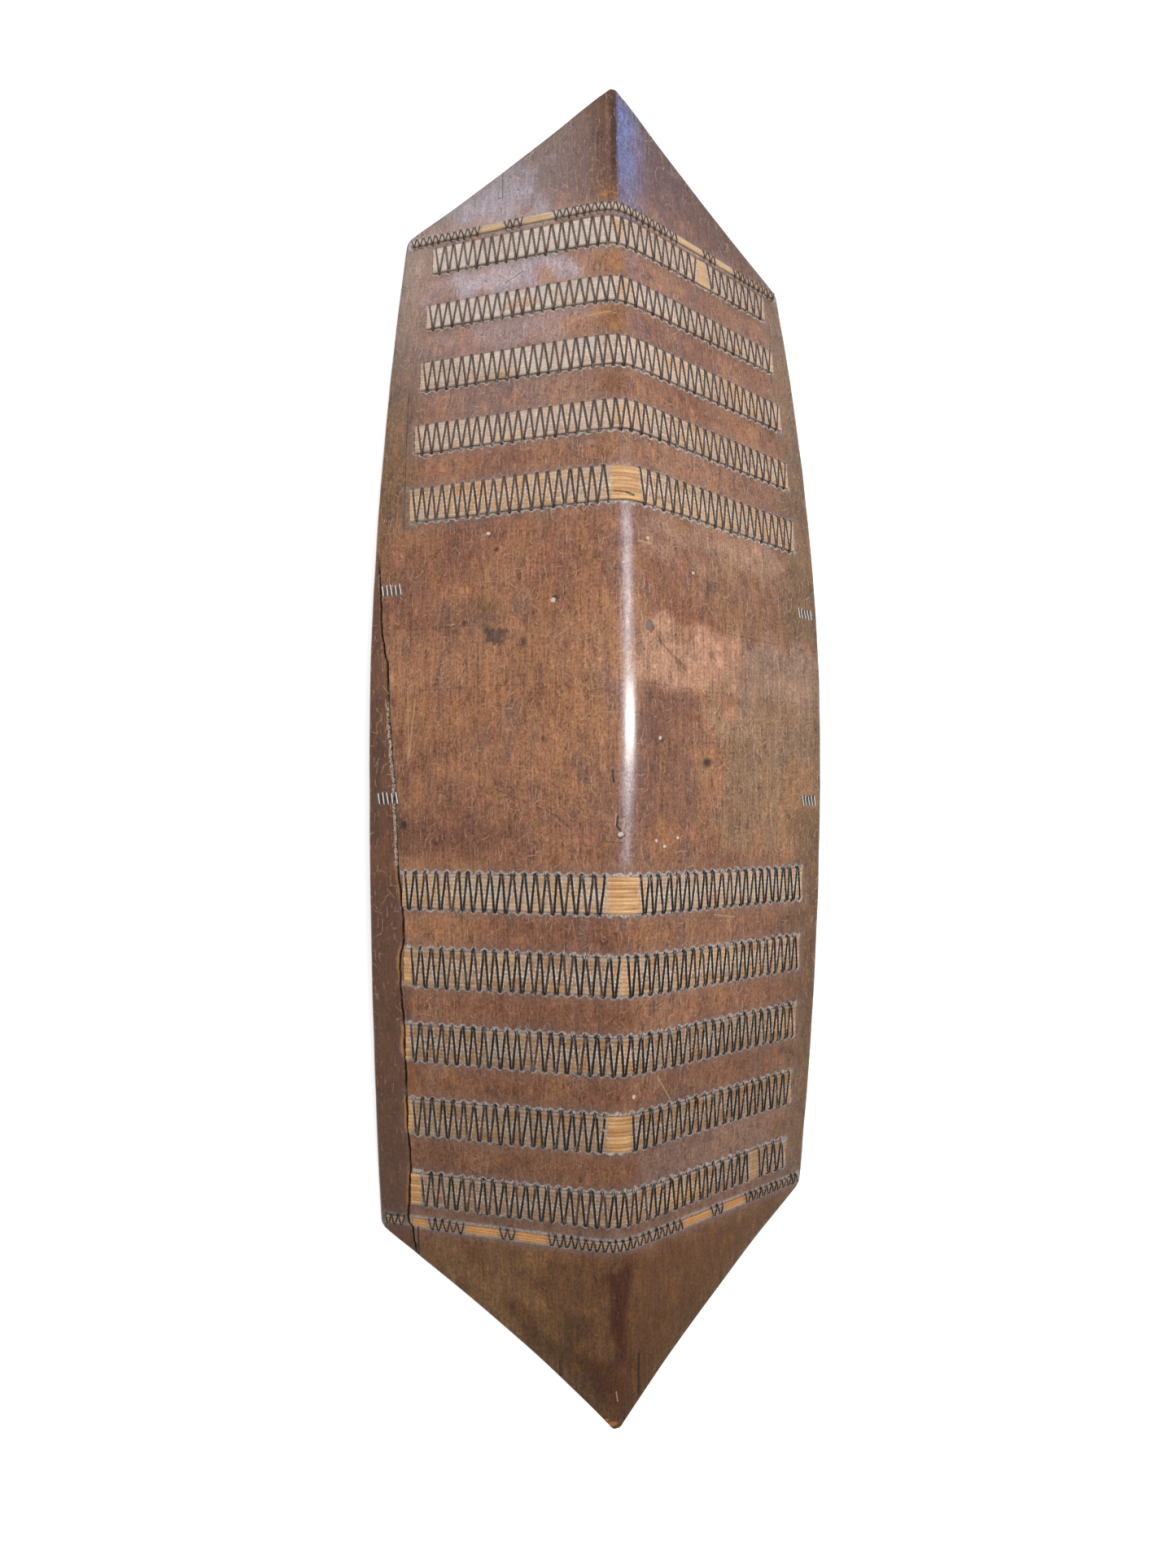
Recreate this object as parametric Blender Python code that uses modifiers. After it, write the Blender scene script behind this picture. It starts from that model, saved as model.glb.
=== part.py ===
"""A carved wooden ridge shield from Borneo, laced with flat rattan strips, lying on its back.

Units are metres. The front faces up (+Z), the length runs along Y, and the ground is z = 0.
The origin is under the middle of the shield.
"""
from math import radians, sqrt

import bmesh
import bpy
from mathutils import Vector

# Outline of the board, seen from the front
LENGTH = 1.195                   # from tip to tip
TIP_WIDTH = 0.011                # the worn, blunt end of each tip
HALF_WIDTH = 0.2145              # from the middle line to the long edge, at the widest place
WIDEST_Y = 0.040
UPPER_SHOULDER_Y = 0.478         # where the long edges meet the slanted ends
LOWER_SHOULDER_Y = -0.456
UPPER_SHOULDER_HALF_WIDTH = 0.1940
LOWER_SHOULDER_HALF_WIDTH = 0.2020
SIDE_CURVE = 1.6                 # power of the long edges' curve, 1 is straight
UPPER_SLANT_CURVE = 1.06         # the same for the slanted ends
LOWER_SLANT_CURVE = 1.11
SHOULDER_ROUNDING = 0.004

# Section and bow of the board
THICKNESS = 0.010
RIDGE_HEIGHT = 0.087             # ridge over long edges, in the middle
RIDGE_ROUNDING = 0.012
BOW_MIDDLE_Y = 0.014             # where the board bows out furthest
BOW_REACH = 0.600                # length over which the bows below are counted
RIDGE_BOW = 0.1245               # how far the ridge sinks towards its ends, square term
RIDGE_BOW_EASE = 0.066           # and how much of that the fourth power gives back
EDGE_BOW = 0.065
EDGE_BOW_EASE = 0.0075
FOOT_WEAR = 0.0015               # depth worn off the four back corners that touch the ground

# Grip on the back, carved from the board
GRIP_Y = 0.016
GRIP_WIDTH = 0.028
FINGER_LENGTH = 0.125            # gap between the pads, along the bar
FINGER_HEIGHT = 0.040            # gap between the bar and the board
BAR_DEPTH = 0.022
PAD_LENGTH = 0.045
PAD_SLOPE = 0.018                # how much shorter the rear side of a pad is
GRIP_ROUNDING = 0.006
FINGER_ROUNDING = 0.012

# Strips and their lacing
SEAT_GAP = 0.0003                # between neighbours that touch
STRIP_THICKNESS = 0.0018
UPPER_STRIP_Y = 0.188            # middle of the lowest strip of the upper five
UPPER_STRIP_STEP = 0.0643
LOWER_STRIP_Y = -0.152           # middle of the highest strip of the lower five
LOWER_STRIP_STEP = 0.0659
STRIP_WIDTHS = (0.029, 0.0255, 0.029, 0.0275, 0.031, 0.0295, 0.031, 0.0305, 0.0305, 0.028)
STRIP_INSET_LEFT = 0.029         # from the long edge to a strip's end
STRIP_INSET_RIGHT = 0.0245
LACING_PITCH = 0.0090            # one whole zigzag
LACING_WIDTH = 0.0013
LACING_THICKNESS = 0.0012
LACING_OVERRUN = 0.0015          # how far a turn passes the strip's edge
LACING_INSET = 0.002             # from a strip's end to the first turn
BARE_LEFT_ENDS = {7: 0.006, 8: 0.004, 9: 0.004, 10: 0.009}
BARE_PATCHES = {                 # where the lacing is worn away: from and to, counted from the middle line
    1: (0.0865, 0.0990),
    5: (-0.0140, 0.0120),
    6: (-0.0175, 0.0095),
    7: (-0.0048, 0.0000),
    9: (-0.0130, 0.0085),
    10: (0.1340, 0.1440),
}

# Narrow strips at the shoulders, laced in groups with bare strip between
NARROW_WIDTH = 0.007
NARROW_INSET = 0.004
UPPER_NARROW_Y = 0.471
LOWER_NARROW_Y = -0.447
NARROW_PITCH = 0.0062
UPPER_GROUP_ENDS = (-0.1223, -0.1009, -0.0828, -0.0561, 0.0655, 0.0951, 0.1111, 0.1327)
LOWER_BREAK = (-0.1800, -0.1730)
LOWER_GROUP_ENDS = (-0.1800, -0.1589, -0.1275, -0.0975, -0.0838, -0.0569, 0.0625, 0.0922, 0.1058, 0.1313)

# Short lashings at the long edges
SIDE_LASHING_Y = {"upper": 0.111, "lower": -0.073}
SIDE_LASHING_INSET = 0.008
SIDE_LASHING_LENGTH = 0.018
SIDE_LASHING_HEIGHT = 0.0085
SIDE_LASHING_PITCH = 0.0042
SIDE_LASHING_WIDTH = 0.0011

# The long crack: place along the board and distance in from the left long edge
CRACK_PATH = (
    (0.172, -0.004), (0.139, 0.004), (0.105, 0.0075), (0.071, 0.010), (0.045, 0.016), (0.000, 0.018),
    (-0.065, 0.0235), (-0.136, 0.0255), (-0.168, 0.029), (-0.200, 0.0295), (-0.207, 0.0262),
    (-0.233, 0.0256), (-0.267, 0.028), (-0.365, 0.0285), (-0.390, 0.030), (-0.430, 0.027),
    (-0.447, 0.0245), (-0.453, 0.0295), (-0.492, 0.033),
)
CRACK_RADIUS = 0.0022
CRACK_SINK = 0.0008              # depth of the crack's widest place under the surface

# Fineness of the meshes
COLUMNS = 10                     # across the board and across every strip, so that their facets match
LONG_ROW_SPACING = 0.060
SLANT_ROWS = 2
SHOULDER_ROW_OFFSETS = (-0.018, -0.004, 0.002, 0.010)
GRIP_ROWS = 4

TOP_Y = LENGTH / 2

WOOD = ("shield_wood", (0.27, 0.115, 0.055), 0.38)
RATTAN = ("rattan_strip", (0.52, 0.33, 0.19), 0.55)
CORD = ("dark_rattan_lacing", (0.035, 0.022, 0.017), 0.5)
GREY_CORD = ("grey_lashing", (0.30, 0.25, 0.21), 0.7)


def smaller(first, second, rounding):
    """The smaller of two lengths, with a rounded change from one to the other."""
    return (first + second - sqrt((first - second) ** 2 + rounding ** 2)) / 2


def shoulder(y):
    """Shoulder place, half width there and slant curve of the end of the board that y belongs to."""
    if y > WIDEST_Y:
        return UPPER_SHOULDER_Y, UPPER_SHOULDER_HALF_WIDTH, UPPER_SLANT_CURVE
    return LOWER_SHOULDER_Y, LOWER_SHOULDER_HALF_WIDTH, LOWER_SLANT_CURVE


def edge_half_width(y):
    """Half width between the long edges."""
    shoulder_y, shoulder_half, _ = shoulder(y)
    along = (y - WIDEST_Y) / (shoulder_y - WIDEST_Y)
    return HALF_WIDTH - (HALF_WIDTH - shoulder_half) * along ** SIDE_CURVE


def slant_half_width(y):
    """Half width between the slanted edges of an end."""
    shoulder_y, shoulder_half, curve = shoulder(y)
    along = (TOP_Y - abs(y)) / (TOP_Y - abs(shoulder_y))
    return TIP_WIDTH / 2 + (shoulder_half - TIP_WIDTH / 2) * along ** curve


def half_width(y):
    """Half width of the outline."""
    return smaller(edge_half_width(y), slant_half_width(y), SHOULDER_ROUNDING)


def bow(y, square, ease):
    """How far the board sinks at y."""
    along = (y - BOW_MIDDLE_Y) / BOW_REACH
    return square * along ** 2 - ease * along ** 4


def face_slope(y):
    """Fall of the two faces, per metre away from the ridge."""
    y = min(max(y, LOWER_SHOULDER_Y), UPPER_SHOULDER_Y)
    fall = RIDGE_HEIGHT + bow(y, EDGE_BOW, EDGE_BOW_EASE) - bow(y, RIDGE_BOW, RIDGE_BOW_EASE)
    return fall / (sqrt(edge_half_width(y) ** 2 + RIDGE_ROUNDING ** 2) - RIDGE_ROUNDING)


def front(x, y, above=0.0):
    """Point over (x, y), this far off the front surface, with the ridge's middle at z = 0."""
    slope = face_slope(y)
    fall = slope * (sqrt(x ** 2 + RIDGE_ROUNDING ** 2) - RIDGE_ROUNDING)
    z = -bow(y, RIDGE_BOW, RIDGE_BOW_EASE) - fall + above * sqrt(1 + slope ** 2)
    return Vector((x, y, z))


def corner_level(shoulder_y):
    """Lowest level of the back rim near a shoulder, under the ridge's middle."""
    slope = face_slope(shoulder_y)
    ys = [shoulder_y + offset * (1 if shoulder_y > 0 else -1) for offset in SHOULDER_ROW_OFFSETS]
    return min(front(half_width(y), y).z for y in ys) - THICKNESS / sqrt(1 + slope ** 2)


RIDGE_TOP = -max(corner_level(UPPER_SHOULDER_Y), corner_level(LOWER_SHOULDER_Y)) - FOOT_WEAR
GRIP_CEILING = RIDGE_TOP - THICKNESS
BAR_TOP = GRIP_CEILING - FINGER_HEIGHT
GRIP_REAR = BAR_TOP - BAR_DEPTH


def on_board(x, y, above=0.0):
    """Point on or over the front surface, in the shield's own place."""
    return front(x, y, above) + Vector((0, 0, RIDGE_TOP))


def board_rows():
    """Places along the board of the grid's rows, close together round the shoulders."""
    rows = []
    for side, shoulder_y in ((-1, LOWER_SHOULDER_Y), (1, UPPER_SHOULDER_Y)):
        around = [shoulder_y + side * offset for offset in SHOULDER_ROW_OFFSETS]
        outer = max(around, key=abs)
        slant = [outer + (side * TOP_Y - outer) * step / SLANT_ROWS for step in range(1, SLANT_ROWS + 1)]
        rows += around + slant
    low = LOWER_SHOULDER_Y - SHOULDER_ROW_OFFSETS[0]
    high = UPPER_SHOULDER_Y + SHOULDER_ROW_OFFSETS[0]
    count = round((high - low) / LONG_ROW_SPACING)
    rows += [low + (high - low) * step / count for step in range(1, count)]
    return sorted(rows)


def spread(share):
    """Column places, from -1 to 1, close together near the ridge."""
    return share * abs(share)


def new_object(name, mesh, collection):
    """An object for a mesh, in a collection."""
    obj = bpy.data.objects.new(name, mesh)
    collection.objects.link(obj)
    return obj


def grid_mesh(name, columns, rows, place):
    """A grid whose corner in column i and row j is moved to place(i, j)."""
    work = bmesh.new()
    bmesh.ops.create_grid(work, x_segments=columns, y_segments=rows, size=1.0)
    for corner in work.verts:
        column = round((corner.co.x + 1) / 2 * columns)
        row = round((corner.co.y + 1) / 2 * rows)
        corner.co = place(column, row)
    mesh = bpy.data.meshes.new(name)
    work.to_mesh(mesh)
    work.free()
    return mesh


def thicken(obj, thickness, outward):
    """Gives a sheet its thickness, towards the front or towards the back."""
    solidify = obj.modifiers.new("thickness", "SOLIDIFY")
    solidify.thickness = thickness
    solidify.offset = 1 if outward else -1
    solidify.use_even_offset = True


def combine(obj, other, operation):
    """Joins another solid to an object or cuts it away."""
    boolean = obj.modifiers.new(other.name, "BOOLEAN")
    boolean.object = other
    boolean.operation = operation
    boolean.solver = "EXACT"


def hide_cutter(obj):
    """Marks a helper solid, which isn't part of the shield."""
    obj.hide_render = True
    obj.display_type = "WIRE"
    return obj


def paint(obj, look, smooth_angle=None):
    """Gives an object its own Principled material, and smooth shading where it is round."""
    name, colour, roughness = look
    material = bpy.data.materials.new(f"{name}_{obj.name}")
    material.use_nodes = True
    shader = material.node_tree.nodes["Principled BSDF"]
    shader.inputs["Base Color"].default_value = (*colour, 1.0)
    shader.inputs["Roughness"].default_value = roughness
    shader.inputs["Metallic"].default_value = 0.0
    obj.data.materials.append(material)
    if smooth_angle:
        obj.data.shade_smooth()
        obj.data.set_sharp_from_angle(angle=smooth_angle)


def box(name, low, high, collection):
    """A helper block between two corners."""
    low, high = Vector(low), Vector(high)
    work = bmesh.new()
    bmesh.ops.create_cube(work, size=1.0)
    for corner in work.verts:
        corner.co = Vector(a + (b - a) * (c + 0.5) for a, b, c in zip(low, high, corner.co))
    mesh = bpy.data.meshes.new(name)
    work.to_mesh(mesh)
    work.free()
    return hide_cutter(new_object(name, mesh, collection))


def finger_slot(collection):
    """The space between the grip's bar and the board, with rounded lower corners."""
    half = FINGER_LENGTH / 2
    low = (-GRIP_WIDTH, GRIP_Y - half, BAR_TOP)
    high = (GRIP_WIDTH, GRIP_Y + half, RIDGE_TOP + THICKNESS)
    slot = box("finger_slot", low, high, collection)
    work = bmesh.new()
    work.from_mesh(slot.data)
    lower = [
        edge for edge in work.edges
        if all(abs(corner.co.z - BAR_TOP) < SEAT_GAP for corner in edge.verts)
        and abs(edge.verts[0].co.y - edge.verts[1].co.y) < SEAT_GAP
    ]
    bmesh.ops.bevel(work, geom=lower, offset=FINGER_ROUNDING, segments=3, profile=0.5, affect="EDGES")
    work.to_mesh(slot.data)
    work.free()
    return slot


def grip(collection):
    """Bar and pads in one block: the upper side lies in the board's wood, the rear side is flat."""
    half_length = FINGER_LENGTH / 2 + PAD_LENGTH

    def place(column, row):
        x = (column - 1) * GRIP_WIDTH / 2
        y = GRIP_Y + (2 * row / GRIP_ROWS - 1) * half_length
        return on_board(x, y, -THICKNESS / 2)

    mesh = grid_mesh("grip", 2, GRIP_ROWS, place)
    work = bmesh.new()
    work.from_mesh(mesh)
    made = bmesh.ops.extrude_face_region(work, geom=work.faces[:])
    rear = [item for item in made["geom"] if isinstance(item, bmesh.types.BMVert)]
    for corner in rear:
        shorter = (half_length - PAD_SLOPE) / half_length
        corner.co = (corner.co.x, GRIP_Y + (corner.co.y - GRIP_Y) * shorter, GRIP_REAR)
    bmesh.ops.recalc_face_normals(work, faces=work.faces[:])
    rear_set = set(rear)
    long_edges = [
        edge for edge in work.edges
        if rear_set.issuperset(edge.verts)
        and all(abs(abs(corner.co.x) - GRIP_WIDTH / 2) < SEAT_GAP for corner in edge.verts)
    ]
    bmesh.ops.bevel(work, geom=long_edges, offset=GRIP_ROUNDING, segments=2, profile=0.5, affect="EDGES")
    work.to_mesh(mesh)
    work.free()
    block = hide_cutter(new_object("grip", mesh, collection))
    combine(block, finger_slot(collection), "DIFFERENCE")
    return block


def crack(collection):
    """The groove of the long crack, as a thin square bar along its path."""
    curve = bpy.data.curves.new("crack_path", "CURVE")
    curve.dimensions = "3D"
    curve.bevel_depth = CRACK_RADIUS
    curve.bevel_resolution = 0
    curve.use_fill_caps = True
    curve.twist_mode = "Z_UP"
    spline = curve.splines.new("POLY")
    spline.points.add(len(CRACK_PATH) - 1)
    for point, (y, inset) in zip(spline.points, CRACK_PATH):
        point.co = (*on_board(inset - edge_half_width(y), y, -CRACK_SINK), 1.0)
    path = new_object("crack_path", curve, collection)
    bpy.context.view_layer.update()
    evaluated = path.evaluated_get(bpy.context.evaluated_depsgraph_get())
    mesh = bpy.data.meshes.new_from_object(evaluated)
    work = bmesh.new()
    work.from_mesh(mesh)
    bmesh.ops.remove_doubles(work, verts=work.verts[:], dist=0.00001)
    work.to_mesh(mesh)
    work.free()
    groove = new_object("crack", mesh, collection)
    groove.matrix_world = path.matrix_world
    bpy.data.objects.remove(path)
    return hide_cutter(groove)


def ground(collection):
    """Everything under the ground, which wears the four back corners flat."""
    reach = LENGTH
    return box("ground", (-reach, -reach, -reach), (reach, reach, 0.0), collection)


def board(parts, cutters):
    """The folded board with its grip, its crack and its worn back corners."""
    rows = board_rows()

    def place(column, row):
        y = rows[row]
        x = spread(2 * column / COLUMNS - 1) * half_width(y)
        return on_board(x, y)

    obj = new_object("board", grid_mesh("board", COLUMNS, len(rows) - 1, place), parts)
    thicken(obj, THICKNESS, outward=False)
    combine(obj, grip(cutters), "UNION")
    combine(obj, crack(cutters), "DIFFERENCE")
    combine(obj, ground(cutters), "DIFFERENCE")
    paint(obj, WOOD, smooth_angle=radians(30))


def strip(name, y, width, left, right, parts):
    """A flat strip, or a piece of one, across the board from x = left to x = right, seated on the front."""
    crosses_ridge = left < 0 < right

    def place(column, row):
        share = 2 * column / COLUMNS - 1
        if crosses_ridge:
            x = spread(share) * (right if share > 0 else -left)
        else:
            x = left + (right - left) * (share + 1) / 2
        return on_board(x, y + (row - 0.5) * width, SEAT_GAP)

    obj = new_object(name, grid_mesh(name, COLUMNS, 1, place), parts)
    thicken(obj, STRIP_THICKNESS, outward=True)
    paint(obj, RATTAN)


def upright_extent(thread, step, rise):
    """Extent along the board of a slanted thread of this width, which goes step across in a zigzag of this rise."""
    a = step ** 2 - thread ** 2
    b = thread ** 2 * rise
    c = thread ** 2 * (step ** 2 + rise ** 2)
    return (sqrt(b ** 2 + a * c) - b) / a


def zigzag(name, y, rise, left, right, pitch, thread, above, look, parts):
    """A thread that runs to and fro across a band of this rise, from x = left to x = right."""
    legs = max(2, round((right - left) / (pitch / 2)))
    extent = upright_extent(thread, (right - left) / legs, rise)

    def place(column, row):
        x = left + (right - left) * column / legs
        low = y + rise / 2 - extent if column % 2 == 0 else y - rise / 2
        return on_board(x, low + row * extent, above)

    obj = new_object(name, grid_mesh(name, legs, 1, place), parts)
    thicken(obj, LACING_THICKNESS, outward=True)
    paint(obj, look)


def wide_strip_y(number):
    """Middle of wide strip 1 to 10, counted from the top."""
    if number <= 5:
        return UPPER_STRIP_Y + UPPER_STRIP_STEP * (5 - number)
    return LOWER_STRIP_Y - LOWER_STRIP_STEP * (number - 6)


def wide_strips(parts):
    """The ten wide strips and their lacings, in two runs where a patch is bare."""
    over_strip = SEAT_GAP * 2 + STRIP_THICKNESS
    for number, width in enumerate(STRIP_WIDTHS, start=1):
        y = wide_strip_y(number)
        left = STRIP_INSET_LEFT - edge_half_width(y)
        right = edge_half_width(y) - STRIP_INSET_RIGHT
        strip(f"strip_{number}", y, width, left, right, parts)
        start = left + BARE_LEFT_ENDS.get(number, LACING_INSET)
        end = right - LACING_INSET
        if number in BARE_PATCHES:
            bare_from, bare_to = BARE_PATCHES[number]
            runs = {f"lacing_{number}_left": (start, bare_from), f"lacing_{number}_right": (bare_to, end)}
        else:
            runs = {f"lacing_{number}": (start, end)}
        for name, (run_left, run_right) in runs.items():
            zigzag(name, y, width + 2 * LACING_OVERRUN, run_left, run_right, LACING_PITCH, LACING_WIDTH,
                   over_strip, CORD, parts)


def narrow_strips(parts):
    """The narrow strips at the shoulders and the groups of stitches on them."""
    over_strip = SEAT_GAP * 2 + STRIP_THICKNESS
    rise = NARROW_WIDTH + 2 * LACING_OVERRUN
    lines = {
        "upper": (UPPER_NARROW_Y, UPPER_GROUP_ENDS),
        "lower": (LOWER_NARROW_Y, LOWER_GROUP_ENDS),
    }
    for name, (y, group_ends) in lines.items():
        reach = min(half_width(y - NARROW_WIDTH / 2), half_width(y + NARROW_WIDTH / 2)) - NARROW_INSET
        if name == "upper":
            strip("narrow_strip_upper", y, NARROW_WIDTH, -reach, reach, parts)
        else:
            strip("narrow_strip_lower_left", y, NARROW_WIDTH, -reach, LOWER_BREAK[0], parts)
            strip("narrow_strip_lower_right", y, NARROW_WIDTH, LOWER_BREAK[1], reach, parts)
        ends = (-reach, *group_ends, reach)
        for group in range(len(ends) // 2):
            zigzag(f"stitches_{name}_{group + 1}", y, rise, ends[2 * group], ends[2 * group + 1], NARROW_PITCH,
                   LACING_WIDTH, over_strip, CORD, parts)


def side_lashings(parts):
    """The four short lashings near the long edges."""
    for level, y in SIDE_LASHING_Y.items():
        outer = edge_half_width(y) - SIDE_LASHING_INSET
        inner = outer - SIDE_LASHING_LENGTH
        for side, left, right in (("left", -outer, -inner), ("right", inner, outer)):
            zigzag(f"side_lashing_{level}_{side}", y, SIDE_LASHING_HEIGHT, left, right, SIDE_LASHING_PITCH,
                   SIDE_LASHING_WIDTH, SEAT_GAP, GREY_CORD, parts)


def main():
    """Builds the shield in an empty scene."""
    for obj in list(bpy.data.objects):
        bpy.data.objects.remove(obj)
    parts = bpy.data.collections.new("tribal_shield")
    cutters = bpy.data.collections.new("cutters")
    for collection in (parts, cutters):
        bpy.context.scene.collection.children.link(collection)
    board(parts, cutters)
    wide_strips(parts)
    narrow_strips(parts)
    side_lashings(parts)


main()
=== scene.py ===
# %% [markdown]
# # A carved shield with rattan bands
# This lesson dresses the plain CAD model of a long six-sided wooden shield. Each part below is made over
# its CAD node and then takes the node's place, so the whole keeps the CAD model's real size to within 2 mm.

# %% Load the model and keep its box
import math
import bmesh
import bpy
import numpy as np
from mathutils import Matrix, Vector


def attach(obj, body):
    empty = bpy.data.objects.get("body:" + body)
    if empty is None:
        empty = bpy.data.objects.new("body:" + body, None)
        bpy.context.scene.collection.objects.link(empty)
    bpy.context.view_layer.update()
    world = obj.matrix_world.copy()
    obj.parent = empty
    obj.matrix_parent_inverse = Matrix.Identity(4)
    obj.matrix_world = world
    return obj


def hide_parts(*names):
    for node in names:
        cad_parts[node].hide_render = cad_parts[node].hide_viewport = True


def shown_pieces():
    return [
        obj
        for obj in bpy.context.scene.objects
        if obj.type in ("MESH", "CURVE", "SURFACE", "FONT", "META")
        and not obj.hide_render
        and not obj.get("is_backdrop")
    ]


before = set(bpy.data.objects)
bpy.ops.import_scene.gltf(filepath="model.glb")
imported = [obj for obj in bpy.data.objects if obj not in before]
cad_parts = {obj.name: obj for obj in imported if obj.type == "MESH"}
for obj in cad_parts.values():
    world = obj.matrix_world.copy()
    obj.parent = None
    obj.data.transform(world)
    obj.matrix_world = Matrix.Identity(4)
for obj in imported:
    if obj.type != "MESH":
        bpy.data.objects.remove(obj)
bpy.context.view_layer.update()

# %% [markdown]
# ## The camera
# The picture was taken from above the lower left of the middle, with a wide lens, so the near middle looks
# large and the ends shrink. A camera is added with the place, the turn and the lens that make the model's
# outline and its bands fall where the picture shows them. The sensor's 36 mm lies along the long side.

# %% Put the camera over the shield
CAMERA_PLACE = (-0.1130, -0.0920, 0.6120)
CAMERA_DEGREES = (3.3254, -9.3458, -0.0141)
CAMERA_LENS = 14.348
SENSOR_LENGTH = 36
bpy.ops.object.select_all(action="DESELECT")
bpy.ops.object.camera_add(location=CAMERA_PLACE, rotation=[math.radians(turn) for turn in CAMERA_DEGREES])
camera = bpy.context.object
camera.name = "picture_camera"
camera.data.sensor_width = SENSOR_LENGTH
camera.data.lens = CAMERA_LENS
bpy.context.scene.camera = camera
print("lens:", round(camera.data.lens, 2), "mm")

# %% [markdown]
# ## Floor and light
# A pale floor stands for the white ground. The polished ridge mirrors one long soft light above it, with a
# fainter one behind that. A low light beyond the upper end greys the upper left side, and a small cool one
# turns the upper right tip blue. These reflections and the line on the ridge are also painted into the wood's
# colour further down, as a painted lavender sheen, a painted blue reflection and a painted highlight. They
# could be placed by eye, but a mirror line from the camera over the ridge tells where each one must stand.

# %% Lay the floor
def coloured(red, green, blue):
    """A colour given as on a screen, from 0 to 255, as the light values that shaders use."""
    parts = [part / 255 for part in (red, green, blue)]
    return [part / 12.92 if part <= 0.04045 else ((part + 0.055) / 1.055) ** 2.4 for part in parts] + [1.0]


FLOOR_SIZE = 8
FLOOR_TONE = (246, 246, 246)
FLOOR_ROUGHNESS = 0.9
FLOOR_GLOW = 0.50
bpy.ops.mesh.primitive_plane_add(size=FLOOR_SIZE, location=(0, 0, 0))
floor = bpy.context.object
floor.name = "floor"
floor_finish = bpy.data.materials.new("pale_floor")
floor_finish.use_nodes = True
floor_shader = floor_finish.node_tree.nodes["Principled BSDF"]
floor_shader.inputs["Base Color"].default_value = coloured(*FLOOR_TONE)
floor_shader.inputs["Roughness"].default_value = FLOOR_ROUGHNESS
floor_shader.inputs["Emission Color"].default_value = (1, 1, 1, 1)
floor_shader.inputs["Emission Strength"].default_value = FLOOR_GLOW
floor.data.materials.append(floor_finish)
floor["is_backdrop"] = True
print("floor:", tuple(floor.dimensions))


# %% Hang the lights
# Each light's place, aim, width and length, watts and colour.
SOFT_LIGHTS = {
    "ridge_light": ((0.40, 0.20, 1.80), (0.0, 0.0, 0.13), (0.90, 0.32), 21, (1, 1, 1)),
    "tail_light": ((0.42, 1.10, 1.55), (0.0, 0.1, 0.13), (0.80, 0.70), 5, (0.86, 0.88, 1.0)),
    "far_light": ((-0.98, 2.04, 0.63), (-0.09, 0.46, 0.06), (0.80, 0.30), 6, (0.90, 0.92, 1.0)),
    "cool_light": ((0.93, 1.98, 0.68), (0.025, 0.56, 0.07), (0.35, 0.35), 1.2, (0.33, 0.56, 1.0)),
}
ROOM_LIGHT = 0.34


def soft_light(name, place, aim, size, watts, colour):
    """A rectangular light at a place, turned to its aim; its width lies level, and its length across that."""
    bpy.ops.object.light_add(type="AREA", location=place)
    light = bpy.context.object
    light.name = name
    light.data.shape = "RECTANGLE"
    light.data.size, light.data.size_y = size
    light.data.energy = watts
    light.data.color = colour
    back = (Vector(place) - Vector(aim)).normalized()
    level = Vector((0, 1, 0)) if back.z > 0.7 else Vector((0, 0, 1))
    across = level.cross(back).normalized()
    light.rotation_euler = Matrix((across, back.cross(across), back)).transposed().to_euler()


for name, facts in SOFT_LIGHTS.items():
    soft_light(name, *facts)
world = bpy.data.worlds.new("room")
world.use_nodes = True
world.node_tree.nodes["Background"].inputs["Color"].default_value = (1, 1, 1, 1)
world.node_tree.nodes["Background"].inputs["Strength"].default_value = ROOM_LIGHT
bpy.context.scene.world = world
bpy.context.scene.view_settings.view_transform = "Standard"

# %% [markdown]
# ## The shield's form
# The board is one plank, folded along a rounded ridge and bowed lengthwise, widest a little above the middle.
# The form could be pushed into shape by hand, but every band has to lie on it, so it is written once as a
# function that tells the height over any point. All the pieces below ask this function where the wood is.

# %% Name the sizes of the board
LENGTH = 1.195
TIP_WIDTH = 0.011
HALF_WIDTH = 0.2145
WIDEST_Y = 0.040
UPPER_SHOULDER_Y = 0.478
LOWER_SHOULDER_Y = -0.456
UPPER_SHOULDER_HALF_WIDTH = 0.1940
LOWER_SHOULDER_HALF_WIDTH = 0.2020
SIDE_CURVE = 1.6
UPPER_SLANT_CURVE = 1.06
LOWER_SLANT_CURVE = 1.11
SHOULDER_ROUNDING = 0.004
THICKNESS = 0.010
RIDGE_HEIGHT = 0.087
RIDGE_ROUNDING = 0.012
BOW_MIDDLE_Y = 0.014
BOW_REACH = 0.6
RIDGE_BOW = 0.1245
RIDGE_BOW_EASE = 0.066
EDGE_BOW = 0.065
EDGE_BOW_EASE = 0.0075
RIDGE_TOP = 0.12993
TOP_Y = LENGTH / 2
TIP_REACH = 0.0020
TIP_ROUNDING = 0.0055
NARROWING_PAST_TIP = 1.5
print("board:", LENGTH, "by", 2 * HALF_WIDTH, "m")


# %% Tell the outline and the height of the wood
def edge_half_width(y):
    """Half the width between the long edges, which swell towards the widest place."""
    upper = y > WIDEST_Y
    shoulder_y = np.where(upper, UPPER_SHOULDER_Y, LOWER_SHOULDER_Y)
    shoulder_half = np.where(upper, UPPER_SHOULDER_HALF_WIDTH, LOWER_SHOULDER_HALF_WIDTH)
    along = np.abs((y - WIDEST_Y) / (shoulder_y - WIDEST_Y))
    return HALF_WIDTH - (HALF_WIDTH - shoulder_half) * along ** SIDE_CURVE


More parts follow.
